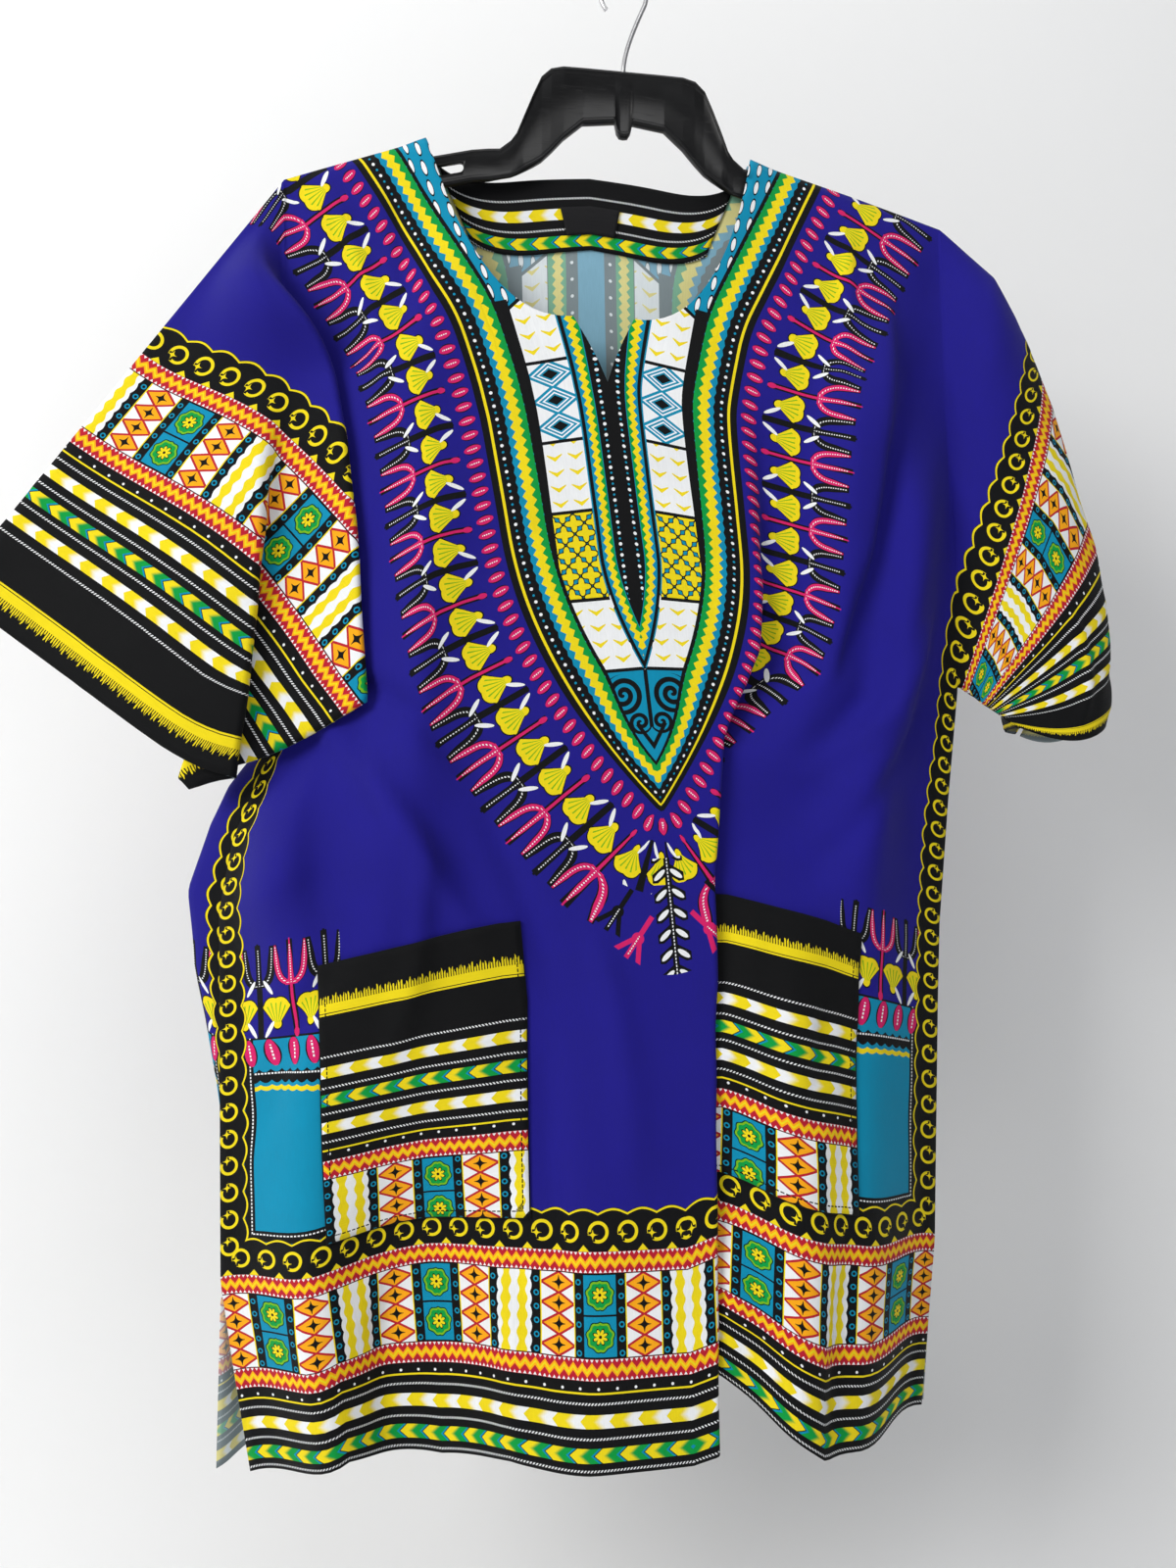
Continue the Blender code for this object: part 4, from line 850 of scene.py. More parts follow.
def near(x, place, half):
    """1 within half of a place."""
    return (x - place).abs().below(half)


def span(x, low, high):
    """1 between two places."""
    return near(x, 0.5 * (low + high), 0.5 * (high - low))


def lines(x, places, half):
    """1 within half of any of the places."""
    mask = near(x, places[0], half)
    for place in places[1:]:
        mask = mask.most(near(x, place, half))
    return mask


def length(x, y):
    """Distance from the middle."""
    return (x * x + y * y).math("SQRT")


def across_down(tree, socket):
    """A vector's first two parts as values."""
    node = tree.nodes.new("ShaderNodeSeparateXYZ")
    tree.links.new(socket, node.inputs[0])
    return Number(tree, node.outputs[0]), Number(tree, node.outputs[1])


def paint(tree, under, mask, over):
    """Lays one colour on another where a mask is 1."""
    node = tree.nodes.new("ShaderNodeMix")
    node.data_type = "RGBA"
    if isinstance(mask, Number):
        tree.links.new(mask.socket, node.inputs[0])
    else:
        node.inputs[0].default_value = mask
    for socket, value in ((node.inputs[6], under), (node.inputs[7], over)):
        if isinstance(value, tuple):
            socket.default_value = value
        else:
            tree.links.new(value, socket)
    return node.outputs[2]


class Coat:
    """A colour in a node tree that tones are laid over, one after another."""

    def __init__(self, tree, tone):
        self.tree = tree
        self.tone = tone

    def lay(self, mask, tone):
        """Lays a tone or another coat where a mask is 1."""
        if isinstance(tone, Coat):
            tone = tone.tone
        self.tone = paint(self.tree, self.tone, mask, tone)

    def lay_group(self, group, **values):
        """Lays a print group where it covers."""
        node = use_group(self.tree, group, **values)
        self.lay(Number(self.tree, node.outputs["Cover"]), node.outputs["Colour"])


def linear(red, green, blue):
    """A display colour of 0 to 255 as a scene colour."""
    return tuple(
        ((c / 255.0 + 0.055) / 1.055) ** 2.4 if c > 10 else c / 255.0 / 12.92 for c in (red, green, blue)
    ) + (1.0,)


BLUE = linear(25, 19, 128)
TEAL = linear(0, 135, 172)
PINK = linear(205, 28, 100)
YELLOW = linear(232, 210, 20)
OCHRE = linear(244, 166, 18)
MAROON = linear(178, 24, 44)
GREEN = linear(0, 148, 62)
WHITE = linear(232, 234, 236)
BLACK = linear(5, 6, 8)
LEAF = linear(120, 175, 20)
WRONG_SIDE_AND_PAINTED_LIGHT = linear(190, 208, 214)  # the bare cotton of the cloth's inside, lightened further as painted light where the shirt's inside lies in shade


VECTOR, COLOUR = "NodeSocketVector", "NodeSocketColor"
PRINT_OUT = (("Colour", COLOUR), "Cover")


def new_group(name, inputs, outputs):
    """A node group, its inputs as values and its output node; a socket named alone holds a plain value."""
    tree = bpy.data.node_groups.new(name, "ShaderNodeTree")
    for way, sockets in (("INPUT", inputs), ("OUTPUT", outputs)):
        for socket in sockets:
            label, kind = (socket, "NodeSocketFloat") if isinstance(socket, str) else socket
            tree.interface.new_socket(name=label, in_out=way, socket_type=kind)
    entry = tree.nodes.new("NodeGroupInput")
    leave = tree.nodes.new("NodeGroupOutput")
    return tree, [Number(tree, entry.outputs[k]) for k in range(len(inputs))], leave


def use_group(tree, group, **values):
    """Places a group and joins its inputs by name."""
    node = tree.nodes.new("ShaderNodeGroup")
    node.node_tree = group
    for label, value in values.items():
        socket = node.inputs[label.replace("_", " ")]
        if isinstance(value, Number):
            tree.links.new(value.socket, socket)
        elif hasattr(value, "is_output"):
            tree.links.new(value, socket)
        else:
            socket.default_value = value
    return node


# ---- the border print: out from the ring band's inner edge ----
RING_PITCH, RING_MIDDLE = 0.0195, 0.0122
ZIGZAG_AT = (0.0305, 0.0945)
ZIGZAG_PITCH, ZIGZAG_HALF = 0.0064, 0.0064
BOX_PITCH = 0.1165
BOX_BAND = (0.0375, 0.0875)
BEAD_PITCH = 0.0085
DIAMOND_AT = 0.0295  # from the middle of a striped box
DIAMOND = (0.0112, 0.00625)  # half its width and half its height
ROSETTE_AT, ROSETTE_HEIGHT = 0.05825, 0.0250
DOTS_AT, LINE_AT = 0.1055, 0.1082
HATCH_AT = (0.1142, 0.1343, 0.1524, 0.1743)
DASHES_AT, DASH_PITCH = (0.1243, 0.1633), 0.0185
CHEVRONS_AT, CHEVRON_PITCH = 0.1437, 0.0160
FRINGE = (0.2030, 0.2112)


def lay_rings(colour, t, s):
    """Rings that open on one side, each with a small star, and small teeth; gives the scalloped edge."""
    x = t.cell(RING_PITCH)
    wave = (x * (math.pi / RING_PITCH)).sin().abs() * -0.0030 + 0.0030
    wave = wave - 0.0026
    edge = s - wave
    colour.lay(span(edge, 0.0004, 0.0017), YELLOW)
    r = length(x, s - RING_MIDDLE)
    ring = span(r, 0.0047, 0.0068)
    opening = near(x, -0.0042, 0.0022) * near(s, 0.0150, 0.0030)
    colour.lay(ring * opening.from_(1.0), YELLOW)
    star = ((x + 0.0036).abs() + 0.0004) * ((s - 0.0138).abs() + 0.0004)
    star = star.below(0.0000016) * length(x + 0.0036, s - 0.0138).below(0.0034)
    colour.lay(star, YELLOW)
    tooth = t.cell(RING_PITCH, 0.5 * RING_PITCH).abs() * 1.1 + (s - 0.0240).abs()
    colour.lay(tooth.below(0.0040) * s.below(0.0240), YELLOW)
    return edge


def lay_zigzags(colour, t, s):
    """Two zigzag bands: maroon, with white teeth at the edges and an ochre zigzag."""
    z = (s - ZIGZAG_AT[0]).abs().least((s - ZIGZAG_AT[1]).abs())
    side = s.below(0.0600) * (ZIGZAG_AT[1] - ZIGZAG_AT[0]) + s - ZIGZAG_AT[1]
    saw = t.saw(ZIGZAG_PITCH)
    off = (side - saw * 0.0019).abs()
    colour.lay(z.below(ZIGZAG_HALF), MAROON)
    teeth = (z * -1.0 + ZIGZAG_HALF) + t.cell(0.5 * ZIGZAG_PITCH).abs() * 1.6
    colour.lay(z.below(0.0062) * teeth.below(0.0020), WHITE)
    colour.lay(z.below(ZIGZAG_HALF) * off.below(0.0024), OCHRE)
    colour.lay(z.below(ZIGZAG_HALF) * off.below(0.0008), YELLOW)


def lay_boxes(colour, t, s):
    """The boxes, out from the middle of a striped one: scallops, beads, diamonds and rosettes."""
    a = t.cell(BOX_PITCH).abs()
    inside = span(s, *BOX_BAND)
    boxes = Coat(colour.tree, BLACK)
    scallop = (s * (math.pi / BEAD_PITCH)).sin().abs() * 0.0012 + 0.0105
    boxes.lay((a - scallop).below(0.0), WHITE)
    waver = (s * (2.0 * math.pi / 0.0105)).sin() * 0.0008 + 0.0027
    boxes.lay(((a - 0.0054).abs() - waver).below(0.0), YELLOW)
    bead = (a - 0.01475).abs().least((a - 0.04425).abs())
    hole = length(bead, s.cell(BEAD_PITCH))
    boxes.lay(span(hole, 0.0010, 0.0019), TEAL)
    boxes.lay(near(a, 0.0179, 0.00045).most(near(a, 0.0411, 0.00045)), YELLOW)
    dx = (a - DIAMOND_AT).abs()
    dy = (s - BOX_BAND[0]).cell(2.0 * DIAMOND[1], -DIAMOND[1]).abs()
    diamond = dx / DIAMOND[0] + dy / DIAMOND[1]
    lane = dx.below(DIAMOND[0])
    boxes.lay(lane, WHITE)
    boxes.lay(lane * near(diamond, 1.03, 0.13), MAROON)
    boxes.lay(lane * diamond.below(0.90), OCHRE)
    spark = (dx + 0.0004) * (dy + 0.0004)
    boxes.lay(spark.below(0.0000028) * length(dx, dy).below(0.0044), BLACK)
    ax = ROSETTE_AT - a
    ay = (s - BOX_BAND[0]).cell(ROSETTE_HEIGHT, -0.5 * ROSETTE_HEIGHT)
    middle = a.above(0.0478)
    boxes.lay(middle, TEAL)
    angle = ay.math("ARCTAN2", ax)
    rr = length(ax, ay)
    petal = (angle * 8.0).sin() * 0.0005
    boxes.lay(middle * (rr + petal).below(0.0093), BLACK)
    boxes.lay(middle * (rr + petal).below(0.0087), GREEN)
    boxes.lay(middle * near(rr + petal, 0.0079, 0.0006), LEAF)
    flower = (angle * 4.0).sin().abs() * 0.0026 + 0.0020
    boxes.lay(middle * (rr - flower).below(0.0008), BLACK)
    boxes.lay(middle * (rr - flower).below(0.0), YELLOW)
    boxes.lay(middle * rr.below(0.0010), BLACK)
    boxes.lay(middle * ay.abs().above(0.0119), BLACK)
    colour.lay(inside, boxes)


def lay_bands(colour, t, s):
    """Hatched lines, dots, a line, two bands of dashes, one of chevrons, and the fringe at the cuff."""
    hatch = lines(s, HATCH_AT, 0.0007)
    slant = (t + s * 0.8).dash(0.0021, 0.00052)
    colour.lay(hatch * slant, WHITE)
    dots = length(t.cell(0.0120), s - DOTS_AT).below(0.0009)
    colour.lay(dots, WHITE)
    colour.lay(near(s, LINE_AT, 0.0006), YELLOW)
    for level in DASHES_AT:
        lane = near(s, level, 0.0040)
        phase = (t - (s - level).abs() * 0.9).math("FLOORED_MODULO", DASH_PITCH) / DASH_PITCH
        colour.lay(lane, WHITE)
        colour.lay(lane * phase.ramp(0.86, 0.52) * phase.above(0.10), YELLOW)
    lane = near(s, CHEVRONS_AT, 0.0042)
    phase = (t - (s - CHEVRONS_AT).abs() * 1.2).math("FLOORED_MODULO", CHEVRON_PITCH) / CHEVRON_PITCH
    colour.lay(lane, GREEN)
    colour.lay(lane * phase.above(0.90), TEAL)
    colour.lay(lane * phase.ramp(0.60, 0.34), YELLOW)
    colour.lay(lane * phase.below(0.05), BLACK)
    # fringe at the cuff
    reach = (t * 911.0).sin() * 0.0012 + (t * 2377.0).sin() * 0.0014 + 0.2160
    comb = span(s, *FRINGE)
    comb = comb.most(s.above(0.2100) * (s - reach).below(0.0) * t.dash(0.0017, 0.0005))
    colour.lay(comb, YELLOW)
    colour.lay(near(s, 0.2046, 0.0003), BLACK)


def stripes_group():
    """The border print, by distance along it and distance out from the ring band's inner edge."""
    tree, (t, s), leave = new_group("border print", ("Along", "Out"), PRINT_OUT)
    colour = Coat(tree, BLACK)
    edge = lay_rings(colour, t, s)
    lay_zigzags(colour, t, s)
    lay_boxes(colour, t, s)
    lay_bands(colour, t, s)
    tree.links.new(colour.tone, leave.inputs["Colour"])
    tree.links.new(edge.above(0.0).socket, leave.inputs["Cover"])
    return tree


# ---- the neck ornament: across from the centre line, down from the shoulder edge, inside its outer line ----
RIM = 0.0296  # width of the outer lines and braid
CORE_HALF = 0.0212  # half width of the dotted middle
CORE_CLOSES, CORE_CLOSING = 0.318, 0.082  # where the middle starts to close, and how far it takes
BOX_SLOPE = 0.60  # how the first boxes' tops fall away from the centre line
WEAVE_BOX = (0.1760, 0.2340)
FLOWER_BOX = (0.2865, 0.3480)
BOX_BARS = (0.1760, 0.2345, 0.2860, 0.3490)
# the scrolls' coils: place across and down, size, pitch and way round
COILS = ((0.0172, 0.4165, 0.0140, 0.0062, 1.0), (0.0074, 0.4365, 0.0082, 0.0050, -1.0))
BRAID_PITCH, RIM_BRAID_PITCH = 0.0062, 0.0074


def neck_boxes(tree, a, v):
    """The box columns: ticks, a lattice, flowers, and scrolls under them."""
    x = (a - 0.0215).cell(0.0147, -0.00735)
    boxes = Coat(tree, WHITE)
    y = v.cell(0.0112)
    tick = (y + x.abs() * 0.85).below(0.0024) * (y + x.abs() * 0.42).above(-0.0008) * x.abs().below(0.0054)
    boxes.lay(tick, YELLOW)
    weave = v.above(WEAVE_BOX[0]) * v.below(WEAVE_BOX[1])
    lattice = (a - 0.0362).abs() / 0.0150 + (v - WEAVE_BOX[0]).cell(0.0190, -0.0095).abs() / 0.0095
    shade = Coat(tree, WHITE)
    shade.lay(near(lattice, 1.05, 0.12), TEAL)
    shade.lay(lattice.below(0.80), TEAL)
    shade.lay(near(lattice, 0.58, 0.06), WHITE)
    shade.lay(lattice.below(0.38), BLACK)
    boxes.lay(weave, shade)
    bloom = v.above(FLOWER_BOX[0]) * v.below(FLOWER_BOX[1])
    shade = Coat(tree, TEAL)
    for shift in (0.0, 1.0):
        px = (a - 0.0290).cell(0.0150, shift * 0.0075)
        py = (v - 0.2870).cell(0.0150, shift * 0.0075)
        petals = (py.math("ARCTAN2", px) * 4.0 + math.pi * 0.5).sin() * 0.0016 + 0.0047
        past = length(px, py) - petals
        shade.lay(past.below(0.0009), BLACK)
        shade.lay(past.below(0.0), YELLOW)
    boxes.lay(bloom, shade)
    boxes.lay(lines(v, BOX_BARS, 0.0012), BLACK)
    # scrolls under the boxes: two big coils, two small ones and a stem, black on teal
    scroll = Coat(tree, TEAL)
    for cx, cy, size, pitch, way in COILS:
        sx, sy = a - cx, v - cy
        coil = length(sx, sy)
        turn = sy.math("ARCTAN2", sx) * (way / (2.0 * math.pi))
        spiral = (turn + coil / pitch).math("FLOORED_MODULO", 1.0)
        scroll.lay(spiral.below(0.58) * coil.below(size), BLACK)
    scroll.lay(a.below(0.0014) * span(v, 0.3990, 0.4400), BLACK)
    low = v.above(0.3990)
    scroll.lay(near(a + v * 0.62, 0.2810, 0.0016) * v.above(0.4380), BLACK)
    boxes.lay(low, scroll)
    boxes.lay(near(v, 0.3995, 0.0012), BLACK)
    return boxes


def lay_middle(colour, a, v, e, zone, back):
    """The front's braid and dotted black middle, closing to a point, or the back's own middle."""
    core = e.above(0.0) * back.below(0.5)
    colour.lay(core, BLACK)
    saw = v.saw(BRAID_PITCH)
    braid = (e - 0.0068).abs()
    colour.lay(core * braid.below(0.0044), TEAL)
    colour.lay(core * span(e, 0.0070, 0.0108), GREEN)
    colour.lay(core * (e - 0.0068 - saw * 0.0012).abs().below(0.0020), YELLOW)
    spot = length(a - 0.0056, v.cell(0.0078)).below(0.0012)
    small = length(a - 0.0056, v.cell(0.0078, 0.0039)).below(0.0008)
    colour.lay(core * e.above(0.0120) * spot, WHITE)
    colour.lay(core * e.above(0.0120) * small, TEAL)
    # the back's middle: a plain stripe, dotted columns and braid
    core = zone * back.above(0.5) * a.below(0.0325)
    colour.lay(core, BLACK)
    colour.lay(core * a.below(0.0098), TEAL)
    spot = length(a - 0.0142, v.cell(0.0120)).below(0.0012)
    colour.lay(core * spot, WHITE)
    saw = v.saw(BRAID_PITCH)
    colour.lay(core * near(a, 0.0252, 0.0066), GREEN)
    colour.lay(core * (a - 0.0246 - saw * 0.0013).abs().below(0.0030), YELLOW)


def lay_rim(colour, along, inside):
    """The outer lines and braid."""
    rim = inside.below(RIM)
    colour.lay(rim, BLACK)
    spot = length(along.cell(0.0098), inside - 0.0064).below(0.0012)
    small = length(along.cell(0.0098, 0.0049), inside - 0.0064).below(0.0009)
    colour.lay(rim * spot, WHITE)
    colour.lay(rim * small, TEAL)
    saw = along.saw(RIM_BRAID_PITCH)
    edge = saw * 0.0006
    band = (inside + edge - 0.0192).abs()
    colour.lay(band.below(0.0074), TEAL)
    colour.lay(span(inside, 0.0205, 0.0268), GREEN)
    colour.lay((inside - 0.0190 - saw * 0.0015).abs().below(0.0033), YELLOW)
    colour.lay(near(inside, 0.0009, 0.0010), YELLOW)


def yoke_group():
    """The neck ornament: lines, braid, boxes and scrolls."""
    tree, (a, v, along, inside, back), leave = new_group(
        "yoke print", ("Across", "Down", "Along", "Inside", "Back"), PRINT_OUT
    )
    # towards the point the bands lie closer together
    inside = inside * (v.ramp(0.3950, 0.4650) * a.ramp(0.0800, 0.0100) * 0.55 + 1.0)
    colour = Coat(tree, BLACK)
    # shoulder ground: teal with drops
    zone = inside.above(RIM)
    drop_x = a.cell(0.0085)
    drop_y = (v + a * 0.5).cell(0.0150)
    drops = (drop_x / 0.0016) ** 2.0 + (drop_y / 0.0052) ** 2.0
    ground = Coat(tree, TEAL)
    ground.lay(drops.below(1.5), BLACK)
    ground.lay(drops.below(0.9), WHITE)
    colour.lay(zone, ground)
    # box columns, between the outer braid and the inner one, which closes to a point
    down = (v - CORE_CLOSES).most(0.0) / CORE_CLOSING
    half = (down ** 1.7) * -CORE_HALF + CORE_HALF
    e = half - a + (v - (CORE_CLOSES + CORE_CLOSING)).most(0.0) * -3.0
    lane = zone * e.below(-0.0010) * (v - a * BOX_SLOPE).above(0.1052)
    colour.lay(lane, neck_boxes(tree, a, v))
    colour.lay(zone * a.above(0.0506) * v.above(0.128) * v.below(0.33), BLACK)
    slope = near(v - a * BOX_SLOPE, 0.1040, 0.0014)
    colour.lay(zone * slope, BLACK)
    lay_middle(colour, a, v, e, zone, back)
    lay_rim(colour, along, inside)
    tree.links.new(colour.tone, leave.inputs["Colour"])
    tree.links.new(inside.above(-0.0050).socket, leave.inputs["Cover"])
    return tree


# ---- the garland: out from the ornament's outer line ----
SEED_PITCH, SHELL_PITCH = 0.0106, 0.0250
SHELL_FOOT, TULIP_FOOT = 0.0318, 0.0630
LEAVES = ((0.0305, 0.55), (0.0625, -0.55))  # distance out, and lean


def lay_shells(colour, cover, g, o):
    """Shells between the stems, opening outward, with veins from their foot; gives the cover with them."""
    x = g.cell(SHELL_PITCH, 0.5 * SHELL_PITCH)
    y = o - SHELL_FOOT
    angle = x.math("ARCTAN2", y)
    reach = (angle * 6.0).sin().abs() * 0.0014 + 0.0216 - (angle * angle) * 0.0090
    fan = length(x, y) - reach
    foot = length(x, (y - 0.0030) / 1.3) - 0.0030
    shell = (fan.below(0.0) * angle.abs().below(0.60)).most(foot.below(0.0))
    rim = (fan.below(0.0009) * angle.abs().below(0.65)).most(foot.below(0.0008))
    cover = cover.most(rim)
    colour.lay(shell, YELLOW)
    veins = (angle * 15.0).sin().abs().below(0.42) * fan.below(-0.0036) * y.above(0.0035)
    colour.lay(veins * angle.abs().below(0.56), LEAF)
    return cover


def lay_tulips(colour, cover, g, o):
    """Tulips, black at the middle of the repeat and pink halfway, cupped; gives the cover with them."""
    x = g.cell(SHELL_PITCH)
    pink = g.cell(2.0 * SHELL_PITCH).abs().above(0.5 * SHELL_PITCH)
    m = x.abs()
    rise = (o - TULIP_FOOT).most(0.0)
    turn = (rise * -1.0 / 0.0042).math("EXPONENT")
    curve = turn.from_(1.0) * 0.0100 + (o - 0.0700).most(0.0) * 0.05
    thin = o.ramp(0.0965, 0.0800)
    thick = thin * 0.0014 + 0.00055 + pink.from_(1.0) * 0.0005
    thick = thick * (turn * 1.3 + 1.0)
    outer = ((m - curve).abs() - thick).below(0.0) * span(o, 0.0625, 0.0940)
    centre = (m - thick * 0.8).below(0.0) * span(o, 0.0625, 0.0975)
    cup = (m - curve).below(0.0) * span(o, TULIP_FOOT, 0.0665)
    stem = m.below(0.0010) * span(o, 0.0270, 0.0640)
    bud = length(m / 0.0020, (o - 0.0270) / 0.0034).below(1.0)
    tulip = outer.most(centre).most(cup).most(stem).most(bud)
    halo = ((m - curve).abs() - thick - 0.0007).below(0.0) * span(o, 0.0625, 0.0945)
    halo = halo.most(m.below(0.0023) * span(o, 0.0240, 0.0965))
    colour.lay(halo, BLACK)
    colour.lay(tulip, paint(colour.tree, BLACK, pink, PINK))
    dash = o.dash(0.0020, 0.00048)
    seam = ((m - curve).abs() - turn * 0.0007).below(0.00040).most(m.below(0.00040))
    seam = seam * span(o, 0.0640, 0.0930) * dash
    colour.lay(seam, WHITE)
    cover = cover.most(tulip).most(halo)
    return cover


def garland_group():
    """Seeds, three-pronged tulips, shells and leaves, by distance along and out."""
    tree, (g, seed, o), leave = new_group("garland print", ("Along", "Seed Along", "Out"), PRINT_OUT)
    colour = Coat(tree, BLACK)
    # seeds
    x = seed.cell(SEED_PITCH)
    body = (o - SEED_OUT) / 0.0062
    wide = (body * body).from_(1.0).most(0.0) ** 0.6
    x = x + (o - SEED_OUT) * 0.18
    seeds = x.abs() - wide * 0.0029
    cover = (x.abs() - wide * 0.0037).below(0.0) * near(o, SEED_OUT, 0.0060)
    colour.lay(cover * seeds.below(0.0), PINK)
    line = x.abs().below(0.00042) * near(o, SEED_OUT, 0.0036) * o.dash(0.0016, 0.0005)
    colour.lay(line, WHITE)
    cover = lay_shells(colour, cover, g, o)
    cover = lay_tulips(colour, cover, g, o)
    # leaves beside the black stems
    m = g.cell(2.0 * SHELL_PITCH).abs()
    for out, lean in LEAVES:
        lx = m - 0.0068 - (o - out) * lean
        leaf = (lx / 0.0017) ** 2.0 + ((o - out) / 0.0058) ** 2.0
        colour.lay(leaf.below(1.0), WHITE)
        cover = cover.most(leaf.below(1.15))
    tree.links.new(colour.tone, leave.inputs["Colour"])
    tree.links.new(cover.socket, leave.inputs["Cover"])
    return tree


# ---- the whole print ----
PANEL_CORNER = 0.125  # size of a side panel's rounded corner
LEFT_STRETCH, LEFT_PHASE = -0.0420, 0.0172  # the left half's garland against the right's
LEAF_PITCH = 0.0135
SPRIGS = ((0.0250, 0.5830, PINK), (0.0370, 0.5640, BLACK))  # place across and down, and colour


def lay_stem(colour, a, v):
    """The leafy stem under the ornament's point, and its sprigs."""
    stalk = span(v, 0.5300, 0.6080)
    colour.lay(a.below(0.0125) * span(v, 0.5480, 0.6080), BLUE)
    leaves = stalk * a.below(0.0110)
    leaves = leaves * (v.cell(LEAF_PITCH) - a * 0.75 + 0.0030).abs().below(0.0042)
    colour.lay(leaves, BLACK)
    colour.lay(stalk * a.below(0.0022), BLACK)
    leaf = ((a - 0.0058) / 0.0040) ** 2.0 + ((v.cell(LEAF_PITCH) - a * 0.75 + 0.0030) / 0.0021) ** 2.0
    colour.lay(stalk * leaf.below(1.0), WHITE)
    colour.lay(stalk * a.below(0.0004) * v.dash(0.0024, 0.0007), WHITE)
    for across, level, tone in SPRIGS:
        # each leans outward: two curved prongs and a middle one, on a short stem
        along = (a - across) * 0.62 + (v - level) * 0.78
        beside = ((a - across) * 0.78 - (v - level) * 0.62).abs()
        prong = (beside - along.most(0.0) * 0.55 - 0.0012).abs().below(0.0019)
        prong = prong * span(along, -0.0010, 0.0140)
        prong = prong.most(beside.below(0.0017) * span(along, -0.0180, 0.0155))
        body = prong.most(length(beside, along).below(0.0042))
        colour.lay(body, tone)
        seam = beside.below(0.0004) * span(along, -0.002, 0.013) * along.dash(0.0020, 0.0006)
        colour.lay(seam, WHITE)


def shirt_print_group(stripes, yoke, garland):
    """The whole cloth print from the places on the cut."""
    tree, (places, rounds, seeds, back), leave = new_group(
        "shirt print", (("Print", VECTOR), ("Yoke", VECTOR), ("Seeds", VECTOR), "Back"), (("Colour", COLOUR),)
    )
    u, v = across_down(tree, places.socket)
    a = u.abs()
    v = v * -1.0
    around, inside = across_down(tree, rounds.socket)
    seed_along, line_along = across_down(tree, seeds.socket)
    # the lower side panels
    x = (RING_IN - a).most(0.0)
    y = (RING_TOP - 0.021 - v).most(0.0)
    q = ((x / PANEL_CORNER) ** 4.0 + (y / PANEL_CORNER) ** 4.0) ** 0.25
    o = q * PANEL_CORNER - 0.100
    low = a.above(0.150) * v.above(0.52) * o.below(0.13)
    climb = y.above(x)
    edge_along = climb * x + climb.from_(1.0) * (0.25 - y) + 0.0110
    panel = low * o.below(0.025)
    colour = Coat(tree, BLUE)
    colour.lay(panel, TEAL)
    scallop = (edge_along * (math.pi / 0.0075)).sin().abs() * 0.0022
    colour.lay(panel * span(o + scallop, -0.0060, 0.0020), BLACK)
    colour.lay(panel * near(o + scallop * 0.6, -0.0110, 0.0016), YELLOW)
    colour.lay(panel * near(o, -0.0012, 0.0006) * edge_along.dash(0.0022, 0.0007), WHITE)
    colour.lay(panel * o.above(0.0235), BLACK)
    # the border's own black rim with white dashes, on the panels only
    s = (a - RING_IN).most(v - RING_TOP)
    level = (v - RING_TOP).above(a - RING_IN)
    t = level * (a * -1.0) + level.from_(1.0) * v
    rim = low * q.below(1.0) * span(s, -0.0075, 0.0)
    colour.lay(rim, BLACK)
    colour.lay(rim * near(s, -0.0050, 0.0005) * t.dash(0.0026, 0.0008), WHITE)
    # garland round the yoke, and the same above the side panels; the left half runs at its own phase
    out = inside * -1.0
    left = u.below(0.0)
    g = around * (left * LEFT_STRETCH + 1.0) - left * LEFT_PHASE
    stem = g.abs().below(0.0125) * out.above(0.0600)
    g = g + low * (edge_along - g - 0.0250)
    gs = seed_along + low * (edge_along * 0.66 - seed_along)
    seed_zone = o.below(0.0235) * 0.38
    go = out + low * (o - (o - SEED_OUT) * seed_zone - out)
    node = use_group(tree, garland, Along=g, Seed_Along=gs, Out=go)
    shown = low.from_(1.0).most(a.above(0.2330)) * stem.from_(1.0)
    colour.lay(Number(tree, node.outputs["Cover"]) * shown, node.outputs["Colour"])
    lay_stem(colour, a, v)
    colour.lay_group(yoke, Across=a, Down=v, Along=line_along, Inside=inside, Back=back)
    colour.lay_group(stripes, Along=t, Out=s)
    tree.links.new(colour.tone, leave.inputs["Colour"])
    return tree


# ---- cloth, plastic and steel ----
THREAD_PITCH = 0.00042
INSIDE_FADE_AND_PAINTED_LIGHT = 0.40  # how far the print fades on the cloth's inside: partly the wrong side's own fade, partly painted light that brightens the shaded inside
STITCH_IN, STITCH_PITCH = 0.0050, 0.0034  # the pockets' stitches, in from the edge and along it


def noise(tree, places, scale, detail):
    """A noise texture's value."""
    node = tree.nodes.new("ShaderNodeTexNoise")
    node.inputs["Scale"].default_value = scale
    node.inputs["Detail"].default_value = detail
    tree.links.new(places, node.inputs["Vector"])
    return Number(tree, node.outputs[0])


def stretched(tree, places, scale):
    """Places scaled by a vector."""
    node = tree.nodes.new("ShaderNodeMapping")
    node.inputs["Scale"].default_value = scale
    tree.links.new(places, node.inputs["Vector"])
    return node.outputs[0]


def cotton_group():
    """Plain weave and slubs: a height for bump, and a shade."""
    tree, (places,), leave = new_group("plain weave", (("Places", VECTOR),), ("Height", "Shade"))
    u, v = across_down(tree, places.socket)
    warp = (u * (math.pi / THREAD_PITCH)).sin().abs()
    weft = (v * (math.pi / THREAD_PITCH)).sin().abs()
    slub = noise(tree, stretched(tree, places.socket, (14.0, 1.0, 1.0)), 90.0, 3.0)
    soft = noise(tree, places.socket, 26.0, 4.0)
    height = warp * weft * 0.35 + slub * 0.35 + soft * 1.3
    shade = slub * 0.5 + soft * 0.5
    tree.links.new(height.socket, leave.inputs["Height"])
    tree.links.new(shade.socket, leave.inputs["Shade"])
    return tree


